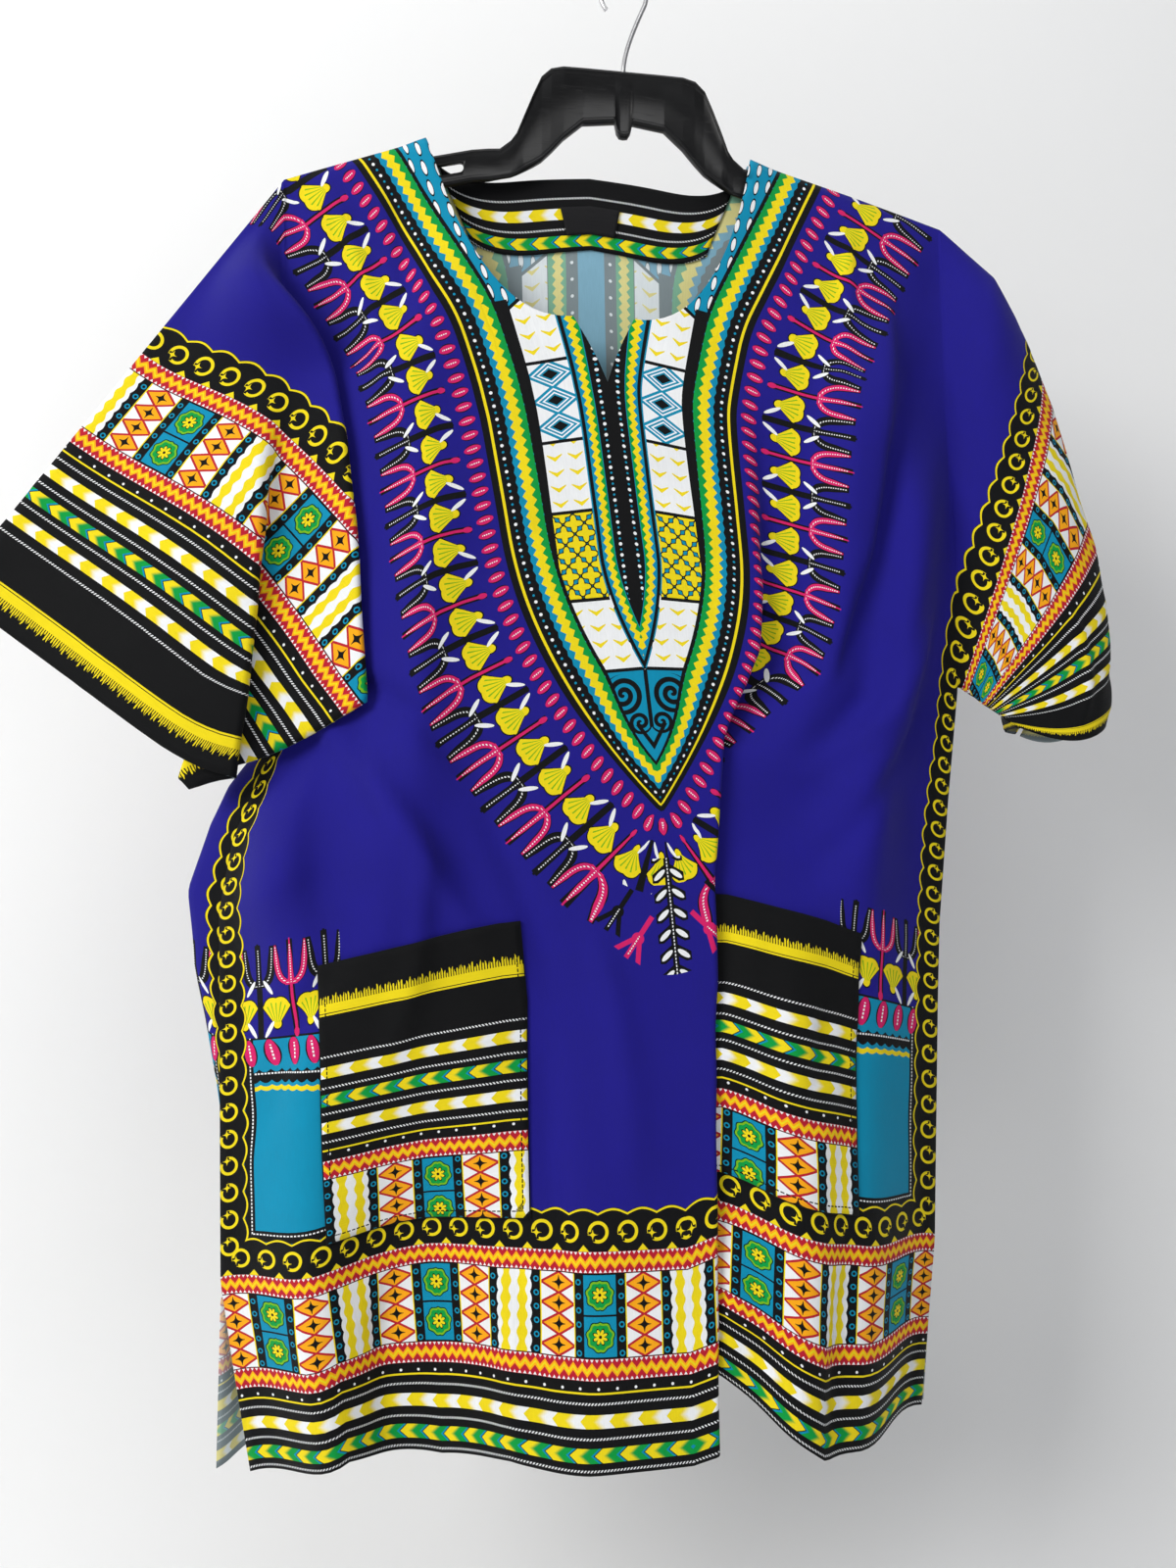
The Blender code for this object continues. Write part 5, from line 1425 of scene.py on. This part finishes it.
def group_named(name):
    """A node group that the cloth's first operator has made."""
    found = bpy.data.node_groups.get(name)
    if found is None:
        raise RuntimeError(f"the {name} group is missing; run the print's operator first")
    return found


def cloth_material(name, back=0.0, inner=False, thread=False):
    """Printed cotton, from the piece's own places on the cut."""
    material = bpy.data.materials.new(name)
    material.use_nodes = True
    tree = material.node_tree
    shader = tree.nodes["Principled BSDF"]
    maps = {}
    for label in ("print", "yoke", "seeds"):
        node = tree.nodes.new("ShaderNodeUVMap")
        node.uv_map = label
        maps[label] = node.outputs[0]
    group = use_group(
        tree, group_named("shirt print"),
        Print=maps["print"], Yoke=maps["yoke"], Seeds=maps["seeds"], Back=back,
    )
    weave = use_group(tree, group_named("plain weave"), Places=maps["print"])
    colour = group.outputs["Colour"]
    # the inside's pale fade is partly painted light: it brightens the shirt's shaded inside
    if inner:
        colour = paint(tree, colour, INSIDE_FADE_AND_PAINTED_LIGHT, WRONG_SIDE_AND_PAINTED_LIGHT)
    if thread:
        node = tree.nodes.new("ShaderNodeUVMap")
        node.uv_map = "stitch"
        run, off = across_down(tree, node.outputs[0])
        line = near(off, STITCH_IN, 0.00045) * run.dash(STITCH_PITCH, 0.0012)
        colour = paint(tree, colour, line, BLACK)
        colour = paint(tree, colour, off.below(0.0008), BLACK)
    shade = Number(tree, weave.outputs["Shade"])
    tint = tree.nodes.new("ShaderNodeHueSaturation")
    tree.links.new(colour, tint.inputs["Color"])
    tree.links.new((shade * 0.34 + 0.83).socket, tint.inputs["Value"])
    tree.links.new(tint.outputs[0], shader.inputs["Base Color"])
    tree.links.new((shade * 0.2 + 0.66).socket, shader.inputs["Roughness"])
    shader.inputs["Sheen Weight"].default_value = 0.03
    shader.inputs["Sheen Roughness"].default_value = 0.5
    shader.inputs["Specular IOR Level"].default_value = 0.16
    bump = tree.nodes.new("ShaderNodeBump")
    bump.inputs["Strength"].default_value = 0.35
    bump.inputs["Distance"].default_value = 0.0012
    tree.links.new(weave.outputs["Height"], bump.inputs["Height"])
    tree.links.new(bump.outputs[0], shader.inputs["Normal"])
    return material


def wear_value(tree):
    """The fine wear at a material's own places."""
    place = tree.nodes.new("ShaderNodeTexCoord")
    group = use_group(tree, group_named("fine wear"), Places=place.outputs["Object"])
    return Number(tree, group.outputs["Wear"])


def worn_material(name, base, rough, metal=0.0):
    """Satin, moulded plastic or steel: the fine wear drives its colour, roughness and bump."""
    material = bpy.data.materials.new(name)
    material.use_nodes = True
    tree = material.node_tree
    shader = tree.nodes["Principled BSDF"]
    wear = wear_value(tree)
    colour = paint(tree, base, wear * 0.5, tuple(min(1.0, c * 1.5 + 0.004) for c in base[:3]) + (1.0,))
    tree.links.new(colour, shader.inputs["Base Color"])
    tree.links.new((wear * 0.30 + rough).socket, shader.inputs["Roughness"])
    shader.inputs["Metallic"].default_value = metal
    shader.inputs["Specular IOR Level"].default_value = 0.28
    bump = tree.nodes.new("ShaderNodeBump")
    bump.inputs["Strength"].default_value = 0.12
    bump.inputs["Distance"].default_value = 0.0005
    tree.links.new(wear.socket, bump.inputs["Height"])
    tree.links.new(bump.outputs[0], shader.inputs["Normal"])
    return material


def wear_group():
    """Fine scuffs and cloudiness, from places in metres."""
    tree, (places,), leave = new_group("fine wear", (("Places", VECTOR),), ("Wear",))
    cloud = noise(tree, places.socket, 60.0, 6.0)
    scuff = noise(tree, stretched(tree, places.socket, (20.0, 300.0, 240.0)), 4.0, 4.0)
    wear = cloud * 0.5 + scuff.ramp(0.52, 0.80) * 0.6
    tree.links.new(wear.socket, leave.inputs["Wear"])
    return tree


# ---- making the pieces ----
BLOCK = 4000  # places worked out at a time
MERGE, SHORTEST = 0.00005, 0.00003  # distances within which a panel's points are joined
BODY_MIDDLE = 0.12  # the faces nearer than this to the middle say which way a sheet looks
BACK_TUCK = 0.036  # how far the back's print lies down at the neck
# where the pocket and the neck facing lie on the sleeve's border
POCKET_PRINT_OUT, POCKET_PRINT_ALONG, POCKET_PRINT_SCALE, POCKET_PRINT_FROM = 0.2406, 0.0502, 0.92, 0.177
FACING_PRINT_OUT, FACING_PRINT_ALONG = 0.188, 0.14


def grid(bm, flats, places):
    """A quad grid of cloth on places worked out from the cut, with the cut's u and v kept on its vertices."""
    rows, columns = flats.shape[:2]
    made = bmesh.ops.create_grid(bm, x_segments=columns - 1, y_segments=rows - 1, size=1.0)["verts"]
    made = sorted(made, key=lambda w: (round(-w.co.y, 6), round(w.co.x, 6)))
    across, down = bm.verts.layers.float["u"], bm.verts.layers.float["v"]
    for vertex, place, (u, v) in zip(made, places, flats.reshape(-1, 2)):
        vertex.co = place
        vertex[across] = u
        vertex[down] = v
    return made


def start_cloth():
    """A bmesh that keeps the places on the cut."""
    bm = bmesh.new()
    bm.verts.layers.float.new("u")
    bm.verts.layers.float.new("v")
    return bm


def outward(bm, front):
    """Turns a sheet so that its faces look out of the shirt."""
    bmesh.ops.recalc_face_normals(bm, faces=bm.faces)
    body = [f for f in bm.faces if abs(f.calc_center_median().x) < BODY_MIDDLE]
    lean = sum(f.normal.y * f.calc_area() for f in body)
    if (lean > 0.0) == bool(front):
        bmesh.ops.reverse_faces(bm, faces=bm.faces)
    bm.normal_update()


def add_maps(mesh, stitch=None, print_of=None, plain=False):
    """The piece's maps: its place in the print, its place from the yoke's line, and its seams' stitches."""
    count = len(mesh.vertices)
    u, v = np.zeros(count), np.zeros(count)
    mesh.attributes["u"].data.foreach_get("value", u)
    mesh.attributes["v"].data.foreach_get("value", v)
    corner = np.zeros(len(mesh.loops), dtype=np.int32)
    mesh.loops.foreach_get("vertex_index", corner)
    pu, pv = print_of(u, v) if print_of else (u, v)
    inside, line, seeds, garland = yoke_places(pu, pv)
    if plain:
        inside = inside * 0.0 - 0.5
    maps = {"print": (pu, -pv), "yoke": (garland, inside), "seeds": (seeds, line)}
    if stitch:
        maps["stitch"] = stitch(u, v)
    for name, (x, y) in maps.items():
        layer = mesh.uv_layers.new(name=name)
        layer.data.foreach_set("uv", np.stack([x[corner], y[corner]], axis=1).ravel())
    for name in ("u", "v"):
        mesh.attributes.remove(mesh.attributes[name])


def finish_piece(name, bm, materials, wall=None, maps=None):
    """Makes the object; a wall is given half to each side, with the second material inside."""
    mesh = bpy.data.meshes.new(name)
    bm.to_mesh(mesh)
    bm.free()
    if maps is not None:
        add_maps(mesh, **maps)
    for material in materials:
        mesh.materials.append(material)
    for polygon in mesh.polygons:
        polygon.use_smooth = True
    piece = bpy.data.objects.new(name, mesh)
    bpy.context.collection.objects.link(piece)
    if wall:
        solid = piece.modifiers.new("wall", "SOLIDIFY")
        solid.thickness = wall
        solid.offset = 0.0
        solid.use_even_offset = False
        solid.material_offset = len(materials) - 1
    return piece


def cloth_points(u, v, front):
    """The cloth's places, worked out in blocks to keep the arrays small."""
    blocks = [slice(k, k + BLOCK) for k in range(0, len(u), BLOCK)]
    return np.concatenate([cloth_point(u[block], v[block], front) for block in blocks])


def make_panel(front):
    """One panel with both its sleeve halves, welded along the armholes."""
    bm = start_cloth()
    flats = body_flats(front)
    for block in (flats, left_sleeve_flats(), right_sleeve_flats(front)):
        u, v = block[:, :, 0].ravel(), block[:, :, 1].ravel()
        grid(bm, block, cloth_points(u, v, front))
    bmesh.ops.remove_doubles(bm, verts=bm.verts, dist=MERGE)
    bmesh.ops.dissolve_degenerate(bm, dist=SHORTEST, edges=bm.edges)
    outward(bm, front)
    across, down = bm.verts.layers.float["u"], bm.verts.layers.float["v"]
    verts = list(bm.verts)
    u = np.array([w[across] for w in verts])
    v = np.array([w[down] for w in verts])
    lift = crease_lift(u, v, front)
    for vertex, height in zip(verts, lift):
        vertex.co += vertex.normal * float(height)
    name = "front_cloth" if front else "back_cloth"
    back = 0.0 if front else 1.0
    outer = cloth_material(name + "_print", back)
    inner = cloth_material(name + "_inside", back, inner=True)
    return finish_piece(name, bm, (outer, inner), SCENE_WALL, {} if front else {"print_of": back_print})


def back_across(u, v):
    """How far the back's cloth lies across from its centre line, where the neck is held open."""
    centre = centre_line(v, False)[0]
    return cloth_points(u, v, False)[:, 0] - centre


def back_print(u, v):
    """The back's print lies evenly under the open neck and joins the cut's own places further out."""
    across = back_across(u, v)
    share = smooth((0.15 - np.abs(across)) / 0.11) * smooth((0.26 - v) / 0.14) * (np.abs(u) < BODY_HALF)
    return u * (1.0 - share) + across * share, v + BACK_TUCK * smooth((0.45 - v) / 0.20)


def pocket_flats(left):
    """A pocket's grid on the cut, on the panel's own rows and columns."""
    rows = []
    for level, row in zip(body_levels(True), body_flats(True)):
        if POCKET_TOP - 1e-6 <= level <= POCKET_FOOT + 1e-6:
            side = -row[:, 0] if left else row[:, 0]
            rows.append(row[(side > POCKET_IN - 1e-6) & (side < POCKET_OUT + 1e-6)])
    return np.array(rows)


def pocket_print(u, v):
    """A pocket is cut from the sleeve's border: its stripes run across, from the fringe down."""
    out = POCKET_PRINT_OUT - (v - POCKET_TOP)
    return RING_IN + out, POCKET_PRINT_ALONG + (POCKET_PRINT_FROM - np.abs(u)) * POCKET_PRINT_SCALE


def pocket_stitch(u, v):
    """Distance along and in from a pocket's edges."""
    side = np.minimum(np.abs(u) - POCKET_IN, POCKET_OUT - np.abs(u))
    down = POCKET_FOOT - v
    off = np.minimum(side, down)
    return np.where(down < side, np.abs(u), v), np.maximum(off, 0.0)


def facing_print(u, v):
    """The neck facing is cut from the sleeve's border, black edge up."""
    return RING_IN + FACING_PRINT_OUT - (v - neck_edge(u, False)), FACING_PRINT_ALONG + back_across(u, v)


def declare(piece, node):
    """Puts a piece on the shirt's body and hides the part of its node."""
    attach(piece, "root")
    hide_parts(node)


def declare_cloth(piece, node):
    """The same for a cloth piece."""
    declare(piece, node)


def bake(piece):
    """Applies a piece's modifiers."""
    graph = bpy.context.evaluated_depsgraph_get()
    shaped = bpy.data.meshes.new_from_object(piece.evaluated_get(graph))
    piece.modifiers.clear()
    piece.data = shaped


def settings():
    """The scene's own settings."""
    return bpy.context.scene.dashiki_stage


# ---- the panels' areas as cut, in square metres; listed but not read ----
FRONT_AREA, BACK_AREA = 0.700, 0.728

# ---- the tab, the hanger's rim and the hook ----
TAB_HALF = 0.0072  # across, on the flat cut
TAB_WALL = 0.0004
# half a hanger arm's section from its edge inward: share of the half thickness, share of the rim
RIM_PROFILE = (
    (0.20, 0.0), (0.62, 0.06), (0.94, 0.20), (1.0, 0.42), (0.94, 0.66), (0.74, 0.86), (0.62, 1.0),
)
HOOK_JOIN, HOOK_END = -22.0, 221.0  # degrees round the hook, from its stem to its end

# ---- the stage ----
FLOOR = -1.42
SWEEP_BACK, SWEEP_RADIUS, SWEEP_REACH, SWEEP_HEIGHT, SWEEP_HALF = 0.30, 0.35, 4.0, 3.4, 4.5
# name, place, size, share of the key's power, colour
LIGHTS = (
    ("key", (-2.1, -1.7, 0.55), 1.3, 4.1, (1.0, 0.99, 0.97)),
    ("fill", (1.3, -2.4, -0.3), 1.8, 0.55, (0.97, 0.98, 1.0)),
    ("top", (0.1, -1.1, 1.5), 1.4, 0.9, (1.0, 1.0, 1.0)),
)
LIGHT_AIM = (-0.04, 0.0, -0.58)
SENSOR = 24.0  # its height, in millimetres
FOCAL, FRAME_HEIGHT = 1256.0, 1600.0  # in the frame's own pixels
CAMERA_AT, CAMERA_TURN = (-0.1427, -0.8869, -0.5897), -7.5


class DashikiStage(bpy.types.PropertyGroup):
    """The values of the stage that a user would change."""

    wall_thickness: bpy.props.FloatProperty(
        name="Cloth thickness", description="Thickness of the shirt's cotton", default=SCENE_WALL,
        min=0.0004, max=0.002, unit="LENGTH",
    )
    plastic: bpy.props.FloatVectorProperty(
        name="Hanger colour", description="Colour of the moulded hanger", default=(0.004, 0.004, 0.0045),
        size=3, subtype="COLOR", min=0.0, max=1.0,
    )
    key_power: bpy.props.FloatProperty(
        name="Key light", description="Strength of the large soft light", default=17.0, min=0.0, unit="POWER"
    )
    floor_colour: bpy.props.FloatVectorProperty(
        name="Floor colour", description="Colour of the floor and backdrop", default=(0.86, 0.865, 0.87),
        size=3, subtype="COLOR", min=0.0, max=1.0,
    )


class DASHIKI_OT_print(bpy.types.Operator):
    """Builds the print's, the weave's and the wear's node groups"""

    bl_idname = "dashiki.print"
    bl_label = "Print and weave"

    def execute(self, context):
        shirt_print_group(stripes_group(), yoke_group(), garland_group())
        cotton_group()
        wear_group()
        return {"FINISHED"}


class DASHIKI_OT_panels(bpy.types.Operator):
    """Builds the front and back cloth with their sleeve halves"""

    bl_idname = "dashiki.panels"
    bl_label = "Front and back cloth"

    def execute(self, context):
        cut = ((True, "front_panel", FRONT_LENGTH, FRONT_AREA), (False, "back_panel", BACK_LENGTH, BACK_AREA))
        for front, node, down, area in cut:
            piece = make_panel(front)
            piece.modifiers["wall"].thickness = settings().wall_thickness
            bake(piece)
            declare_cloth(piece, node)
        return {"FINISHED"}


class DASHIKI_OT_pockets(bpy.types.Operator):
    """Builds the two patch pockets on the front's own points"""

    bl_idname = "dashiki.pockets"
    bl_label = "Pockets"

    def execute(self, context):
        for left in (True, False):
            node = "pocket_left" if left else "pocket_right"
            flats = pocket_flats(left)
            u, v = flats[:, :, 0].ravel(), flats[:, :, 1].ravel()
            lift = POCKET_LIFT + crease_lift(u, v, True) * 0.9
            puff = np.minimum(np.abs(u) - POCKET_IN, POCKET_OUT - np.abs(u))
            lift = lift + 0.0012 * smooth(puff / 0.03) * smooth((POCKET_FOOT - v) / 0.04)
            bm = start_cloth()
            grid(bm, flats, moved_out(flats, lift, True))
            outward(bm, True)
            name = node + "_cloth"
            outer = cloth_material(name + "_print", thread=True)
            maps = {"stitch": pocket_stitch, "print_of": pocket_print, "plain": True}
            piece = finish_piece(name, bm, (outer,), settings().wall_thickness, maps)
            bake(piece)
            declare_cloth(piece, node)
        return {"FINISHED"}


class DASHIKI_OT_neck(bpy.types.Operator):
    """Builds the facing inside the back neck and the small bare tab on it"""

    bl_idname = "dashiki.neck"
    bl_label = "Neck facing and tab"

    def execute(self, context):
        inner = NECK_HALF - 0.004
        rows = []
        for level in np.linspace(0.0, ARMHOLE_DEPTH * 2.0 / 11.0, 22):
            across = np.linspace(-inner * 0.995, inner * 0.995, 61)
            down = level + neck_edge(across, False) * (1.0 - level / 0.36)
            rows.append(np.stack([across, down], axis=1))
        flats = np.array(rows)
        bm = start_cloth()
        grid(bm, flats, moved_out(flats, np.full(flats.shape[0] * flats.shape[1], -FACING_LIFT), False))
        outward(bm, True)
        material = cloth_material("neck_facing_print")
        maps = {"print_of": facing_print, "plain": True}
        facing = finish_piece("neck_facing_cloth", bm, (material,), settings().wall_thickness, maps)
        bake(facing)
        declare_cloth(facing, "neck_facing")
        columns = np.linspace(-TAB_HALF, TAB_HALF, 19)
        flats = np.array([[(across, down) for across in columns] for down in TAB_ROWS])
        bm = start_cloth()
        puff = np.sin(np.linspace(0.0, math.pi, len(TAB_ROWS)))[:, None] * np.ones(len(columns))[None, :]
        lift = -(FACING_LIFT + LABEL_LIFT + 0.0002 + 0.0005 * puff).ravel()
        grid(bm, flats, moved_out(flats, lift, False))
        outward(bm, True)
        satin = worn_material("tab_satin", (0.004, 0.004, 0.005, 1.0), 0.78)
        tab = finish_piece("neck_tab", bm, (satin,), TAB_WALL, {})
        bake(tab)
        declare_cloth(tab, "neck_label")
        return {"FINISHED"}


class DASHIKI_OT_hanger(bpy.types.Operator):
    """Builds the moulded hanger with its raised rim and slots"""

    bl_idname = "dashiki.hanger"
    bl_label = "Hanger"

    def execute(self, context):
        plastic = worn_material("moulded_plastic", tuple(settings().plastic) + (1.0,), 0.24)
        stations = [row[0] for row in HANGER_PROFILE]
        places = list(np.linspace(-stations[-1], stations[-1], 231))
        places += [s * k for s in stations for k in (-1, 1)]
        places = sorted(set(round(float(x), 5) for x in places))
        rings = []
        for x in places:
            top = float(column(HANGER_PROFILE, abs(x), 1)) - HANGER_TILT * x
            foot = float(column(HANGER_PROFILE, abs(x), 2)) - HANGER_TILT * x
            half = float(column(HANGER_PROFILE, abs(x), 3)) * 1.04
            rim = min(0.0058, (top - foot) * 0.42)
            ring = [(half * y, top - rim * z) for y, z in RIM_PROFILE]
            ring += [(half * y, foot + rim * 0.8 * z) for y, z in reversed(RIM_PROFILE)]
            rings.append([(x, y, z) for y, z in ring] + [(x, -y, z) for y, z in reversed(ring)])
        count = len(rings[0])
        bm = bmesh.new()
        made = bmesh.ops.create_grid(bm, x_segments=count, y_segments=len(rings) - 1, size=1.0)["verts"]
        made = sorted(made, key=lambda w: (round(w.co.y, 6), round(w.co.x, 6)))
        for k, vertex in enumerate(made):
            row, place = divmod(k, count + 1)
            vertex.co = rings[row][place % count]
        bmesh.ops.remove_doubles(bm, verts=bm.verts, dist=0.000001)
        bmesh.ops.holes_fill(bm, edges=[e for e in bm.edges if e.is_boundary], sides=0)
        bmesh.ops.recalc_face_normals(bm, faces=bm.faces)
        piece = finish_piece("hanger_shell", bm, (plastic,))
        cutters = []
        for side in (-1.0, 1.0):
            for place, size in SLOTS:
                cutter = bmesh.new()
                bmesh.ops.create_cube(cutter, size=1.0)
                for vertex in cutter.verts:
                    x = place[0] * side + vertex.co.x * size[0]
                    lean = -(x - place[0] * side) * (0.27 * side + HANGER_TILT)
                    z = place[1] - HANGER_TILT * x + vertex.co.z * size[2] + lean
                    vertex.co = (x, vertex.co.y * size[1], z)
                bmesh.ops.bevel(
                    cutter, geom=[e for e in cutter.edges if abs(e.verts[0].co.y - e.verts[1].co.y) > 0.01],
                    offset=0.0028, affect="EDGES", segments=4, profile=0.5, material=-1,
                )
                cutters.append(finish_piece("slot", cutter, (plastic,)))
        for cutter in cutters:
            cut = piece.modifiers.new("slot", "BOOLEAN")
            cut.operation = "DIFFERENCE"
            cut.solver = "EXACT"
            cut.object = cutter
        bake(piece)
        for cutter in cutters:
            bpy.data.objects.remove(cutter, do_unlink=True)
        declare(piece, "hanger_body")
        return {"FINISHED"}


class DASHIKI_OT_hook(bpy.types.Operator):
    """Bends the steel wire hook"""

    bl_idname = "dashiki.hook"
    bl_label = "Hook"

    def execute(self, context):
        steel = worn_material("bright_steel", (0.56, 0.56, 0.57, 1.0), 0.22, 1.0)
        radius = HOOK_INNER + WIRE_RADIUS
        join_angle = math.radians(HOOK_JOIN)
        join = (radius * math.cos(join_angle), -HOOK_INNER + radius * math.sin(join_angle))
        path = []
        for k in range(20):
            s = k / 20.0
            h = (2 * s**3 - 3 * s**2 + 1, s**3 - 2 * s**2 + s, -2 * s**3 + 3 * s**2, s**3 - s**2)
            path.append((h[2] * join[0] + h[3] * 0.020,
                         h[0] * (HOOK_FOOT - 0.0010) + h[1] * 0.045 + h[2] * join[1] + h[3] * 0.045))
        for k in range(61):
            angle = join_angle + (math.radians(HOOK_END) - join_angle) * k / 60.0
            path.append((radius * math.cos(angle), -HOOK_INNER + radius * math.sin(angle)))
        curve = bpy.data.curves.new("hook", "CURVE")
        curve.dimensions = "3D"
        curve.bevel_depth = WIRE_RADIUS
        curve.bevel_resolution = 4
        curve.use_fill_caps = True
        spline = curve.splines.new("POLY")
        spline.points.add(len(path) - 1)
        for point, (x, z) in zip(spline.points, path):
            point.co = (x, 0.0, z, 1.0)
        source = bpy.data.objects.new("hook_line", curve)
        bpy.context.collection.objects.link(source)
        graph = bpy.context.evaluated_depsgraph_get()
        mesh = bpy.data.meshes.new_from_object(source.evaluated_get(graph))
        bpy.data.objects.remove(source, do_unlink=True)
        mesh.materials.clear()
        mesh.materials.append(steel)
        for polygon in mesh.polygons:
            polygon.use_smooth = True
        piece = bpy.data.objects.new("hook_wire", mesh)
        bpy.context.collection.objects.link(piece)
        declare(piece, "hanger_hook")
        return {"FINISHED"}


class DASHIKI_OT_stage(bpy.types.Operator):
    """Sets the floor, the soft lights and the camera"""

    bl_idname = "dashiki.stage"
    bl_label = "Stage"

    def execute(self, context):
        bm = bmesh.new()
        made = bmesh.ops.create_grid(bm, x_segments=24, y_segments=48, size=1.0)["verts"]
        for vertex in made:
            x, s = vertex.co.x, (vertex.co.y + 1.0) * 0.5
            if s < 0.4:
                y, z = -SWEEP_REACH + (SWEEP_BACK - SWEEP_RADIUS + SWEEP_REACH) * s / 0.4, FLOOR
            elif s < 0.6:
                turn = (s - 0.4) / 0.2 * 0.5 * math.pi
                y = SWEEP_BACK - SWEEP_RADIUS + SWEEP_RADIUS * math.sin(turn)
                z = FLOOR + SWEEP_RADIUS * (1.0 - math.cos(turn))
            else:
                y, z = SWEEP_BACK, FLOOR + SWEEP_RADIUS + (s - 0.6) / 0.4 * SWEEP_HEIGHT
            vertex.co = (x * SWEEP_HALF, y, z)
        material = bpy.data.materials.new("pale_backdrop")
        material.use_nodes = True
        tree = material.node_tree
        shader = tree.nodes["Principled BSDF"]
        base = tuple(settings().floor_colour) + (1.0,)
        wear = wear_value(tree)
        colour = paint(tree, base, wear * 0.08, tuple(c * 0.9 for c in base[:3]) + (1.0,))
        tree.links.new(colour, shader.inputs["Base Color"])
        shader.inputs["Roughness"].default_value = 0.85
        # seen from behind, the sweep lets the view through to the shirt's back
        behind = tree.nodes.new("ShaderNodeNewGeometry")
        seen = Number(tree, behind.outputs["Backfacing"]).from_(1.0)
        tree.links.new(seen.socket, shader.inputs["Alpha"])
        finish_piece("backdrop", bm, (material,))
        for name, place, size, share, colour in LIGHTS:
            lamp = bpy.data.lights.new(name, "AREA")
            lamp.energy = settings().key_power * share
            lamp.size = size
            lamp.color = colour
            holder = bpy.data.objects.new(name, lamp)
            bpy.context.collection.objects.link(holder)
            holder.location = place
            way = Vector(LIGHT_AIM) - Vector(place)
            holder.rotation_euler = way.to_track_quat("-Z", "Y").to_euler()
        world = bpy.data.worlds.new("studio")
        world.use_nodes = True
        sky = world.node_tree.nodes["Background"]
        sky.inputs["Color"].default_value = (0.92, 0.94, 0.97, 1.0)
        sky.inputs["Strength"].default_value = 0.17
        bpy.context.scene.world = world
        bpy.context.scene.view_settings.view_transform = "Standard"
        camera = bpy.data.cameras.new("camera")
        camera.sensor_fit = "VERTICAL"
        camera.sensor_height = SENSOR
        camera.lens = SENSOR * FOCAL / FRAME_HEIGHT
        camera.clip_start = 0.05
        holder = bpy.data.objects.new("camera", camera)
        bpy.context.collection.objects.link(holder)
        holder.location = CAMERA_AT
        holder.rotation_euler = (math.radians(90.0), 0.0, math.radians(CAMERA_TURN))
        bpy.context.scene.camera = holder
        return {"FINISHED"}


OPERATORS = (
    DASHIKI_OT_print, DASHIKI_OT_hanger, DASHIKI_OT_hook, DASHIKI_OT_panels, DASHIKI_OT_pockets,
    DASHIKI_OT_neck, DASHIKI_OT_stage,
)


class DASHIKI_PT_panel(bpy.types.Panel):
    """Lists the shirt's pieces in the sidebar"""

    bl_label = "Dashiki shirt"
    bl_idname = "DASHIKI_PT_panel"
    bl_space_type = "VIEW_3D"
    bl_region_type = "UI"
    bl_category = "Dashiki"

    def draw(self, context):
        for name in ("wall_thickness", "plastic", "key_power", "floor_colour"):
            self.layout.prop(context.scene.dashiki_stage, name)
        for kind in OPERATORS:
            self.layout.operator(kind.bl_idname)


def register():
    for kind in (DashikiStage, *OPERATORS, DASHIKI_PT_panel):
        bpy.utils.register_class(kind)
    bpy.types.Scene.dashiki_stage = bpy.props.PointerProperty(type=DashikiStage)


def unregister():
    del bpy.types.Scene.dashiki_stage
    for kind in reversed((DashikiStage, *OPERATORS, DASHIKI_PT_panel)):
        bpy.utils.unregister_class(kind)


def main():
    register()
    for kind in OPERATORS:
        area, name = kind.bl_idname.split(".")
        getattr(getattr(bpy.ops, area), name)()


if __name__ == "__main__":
    main()
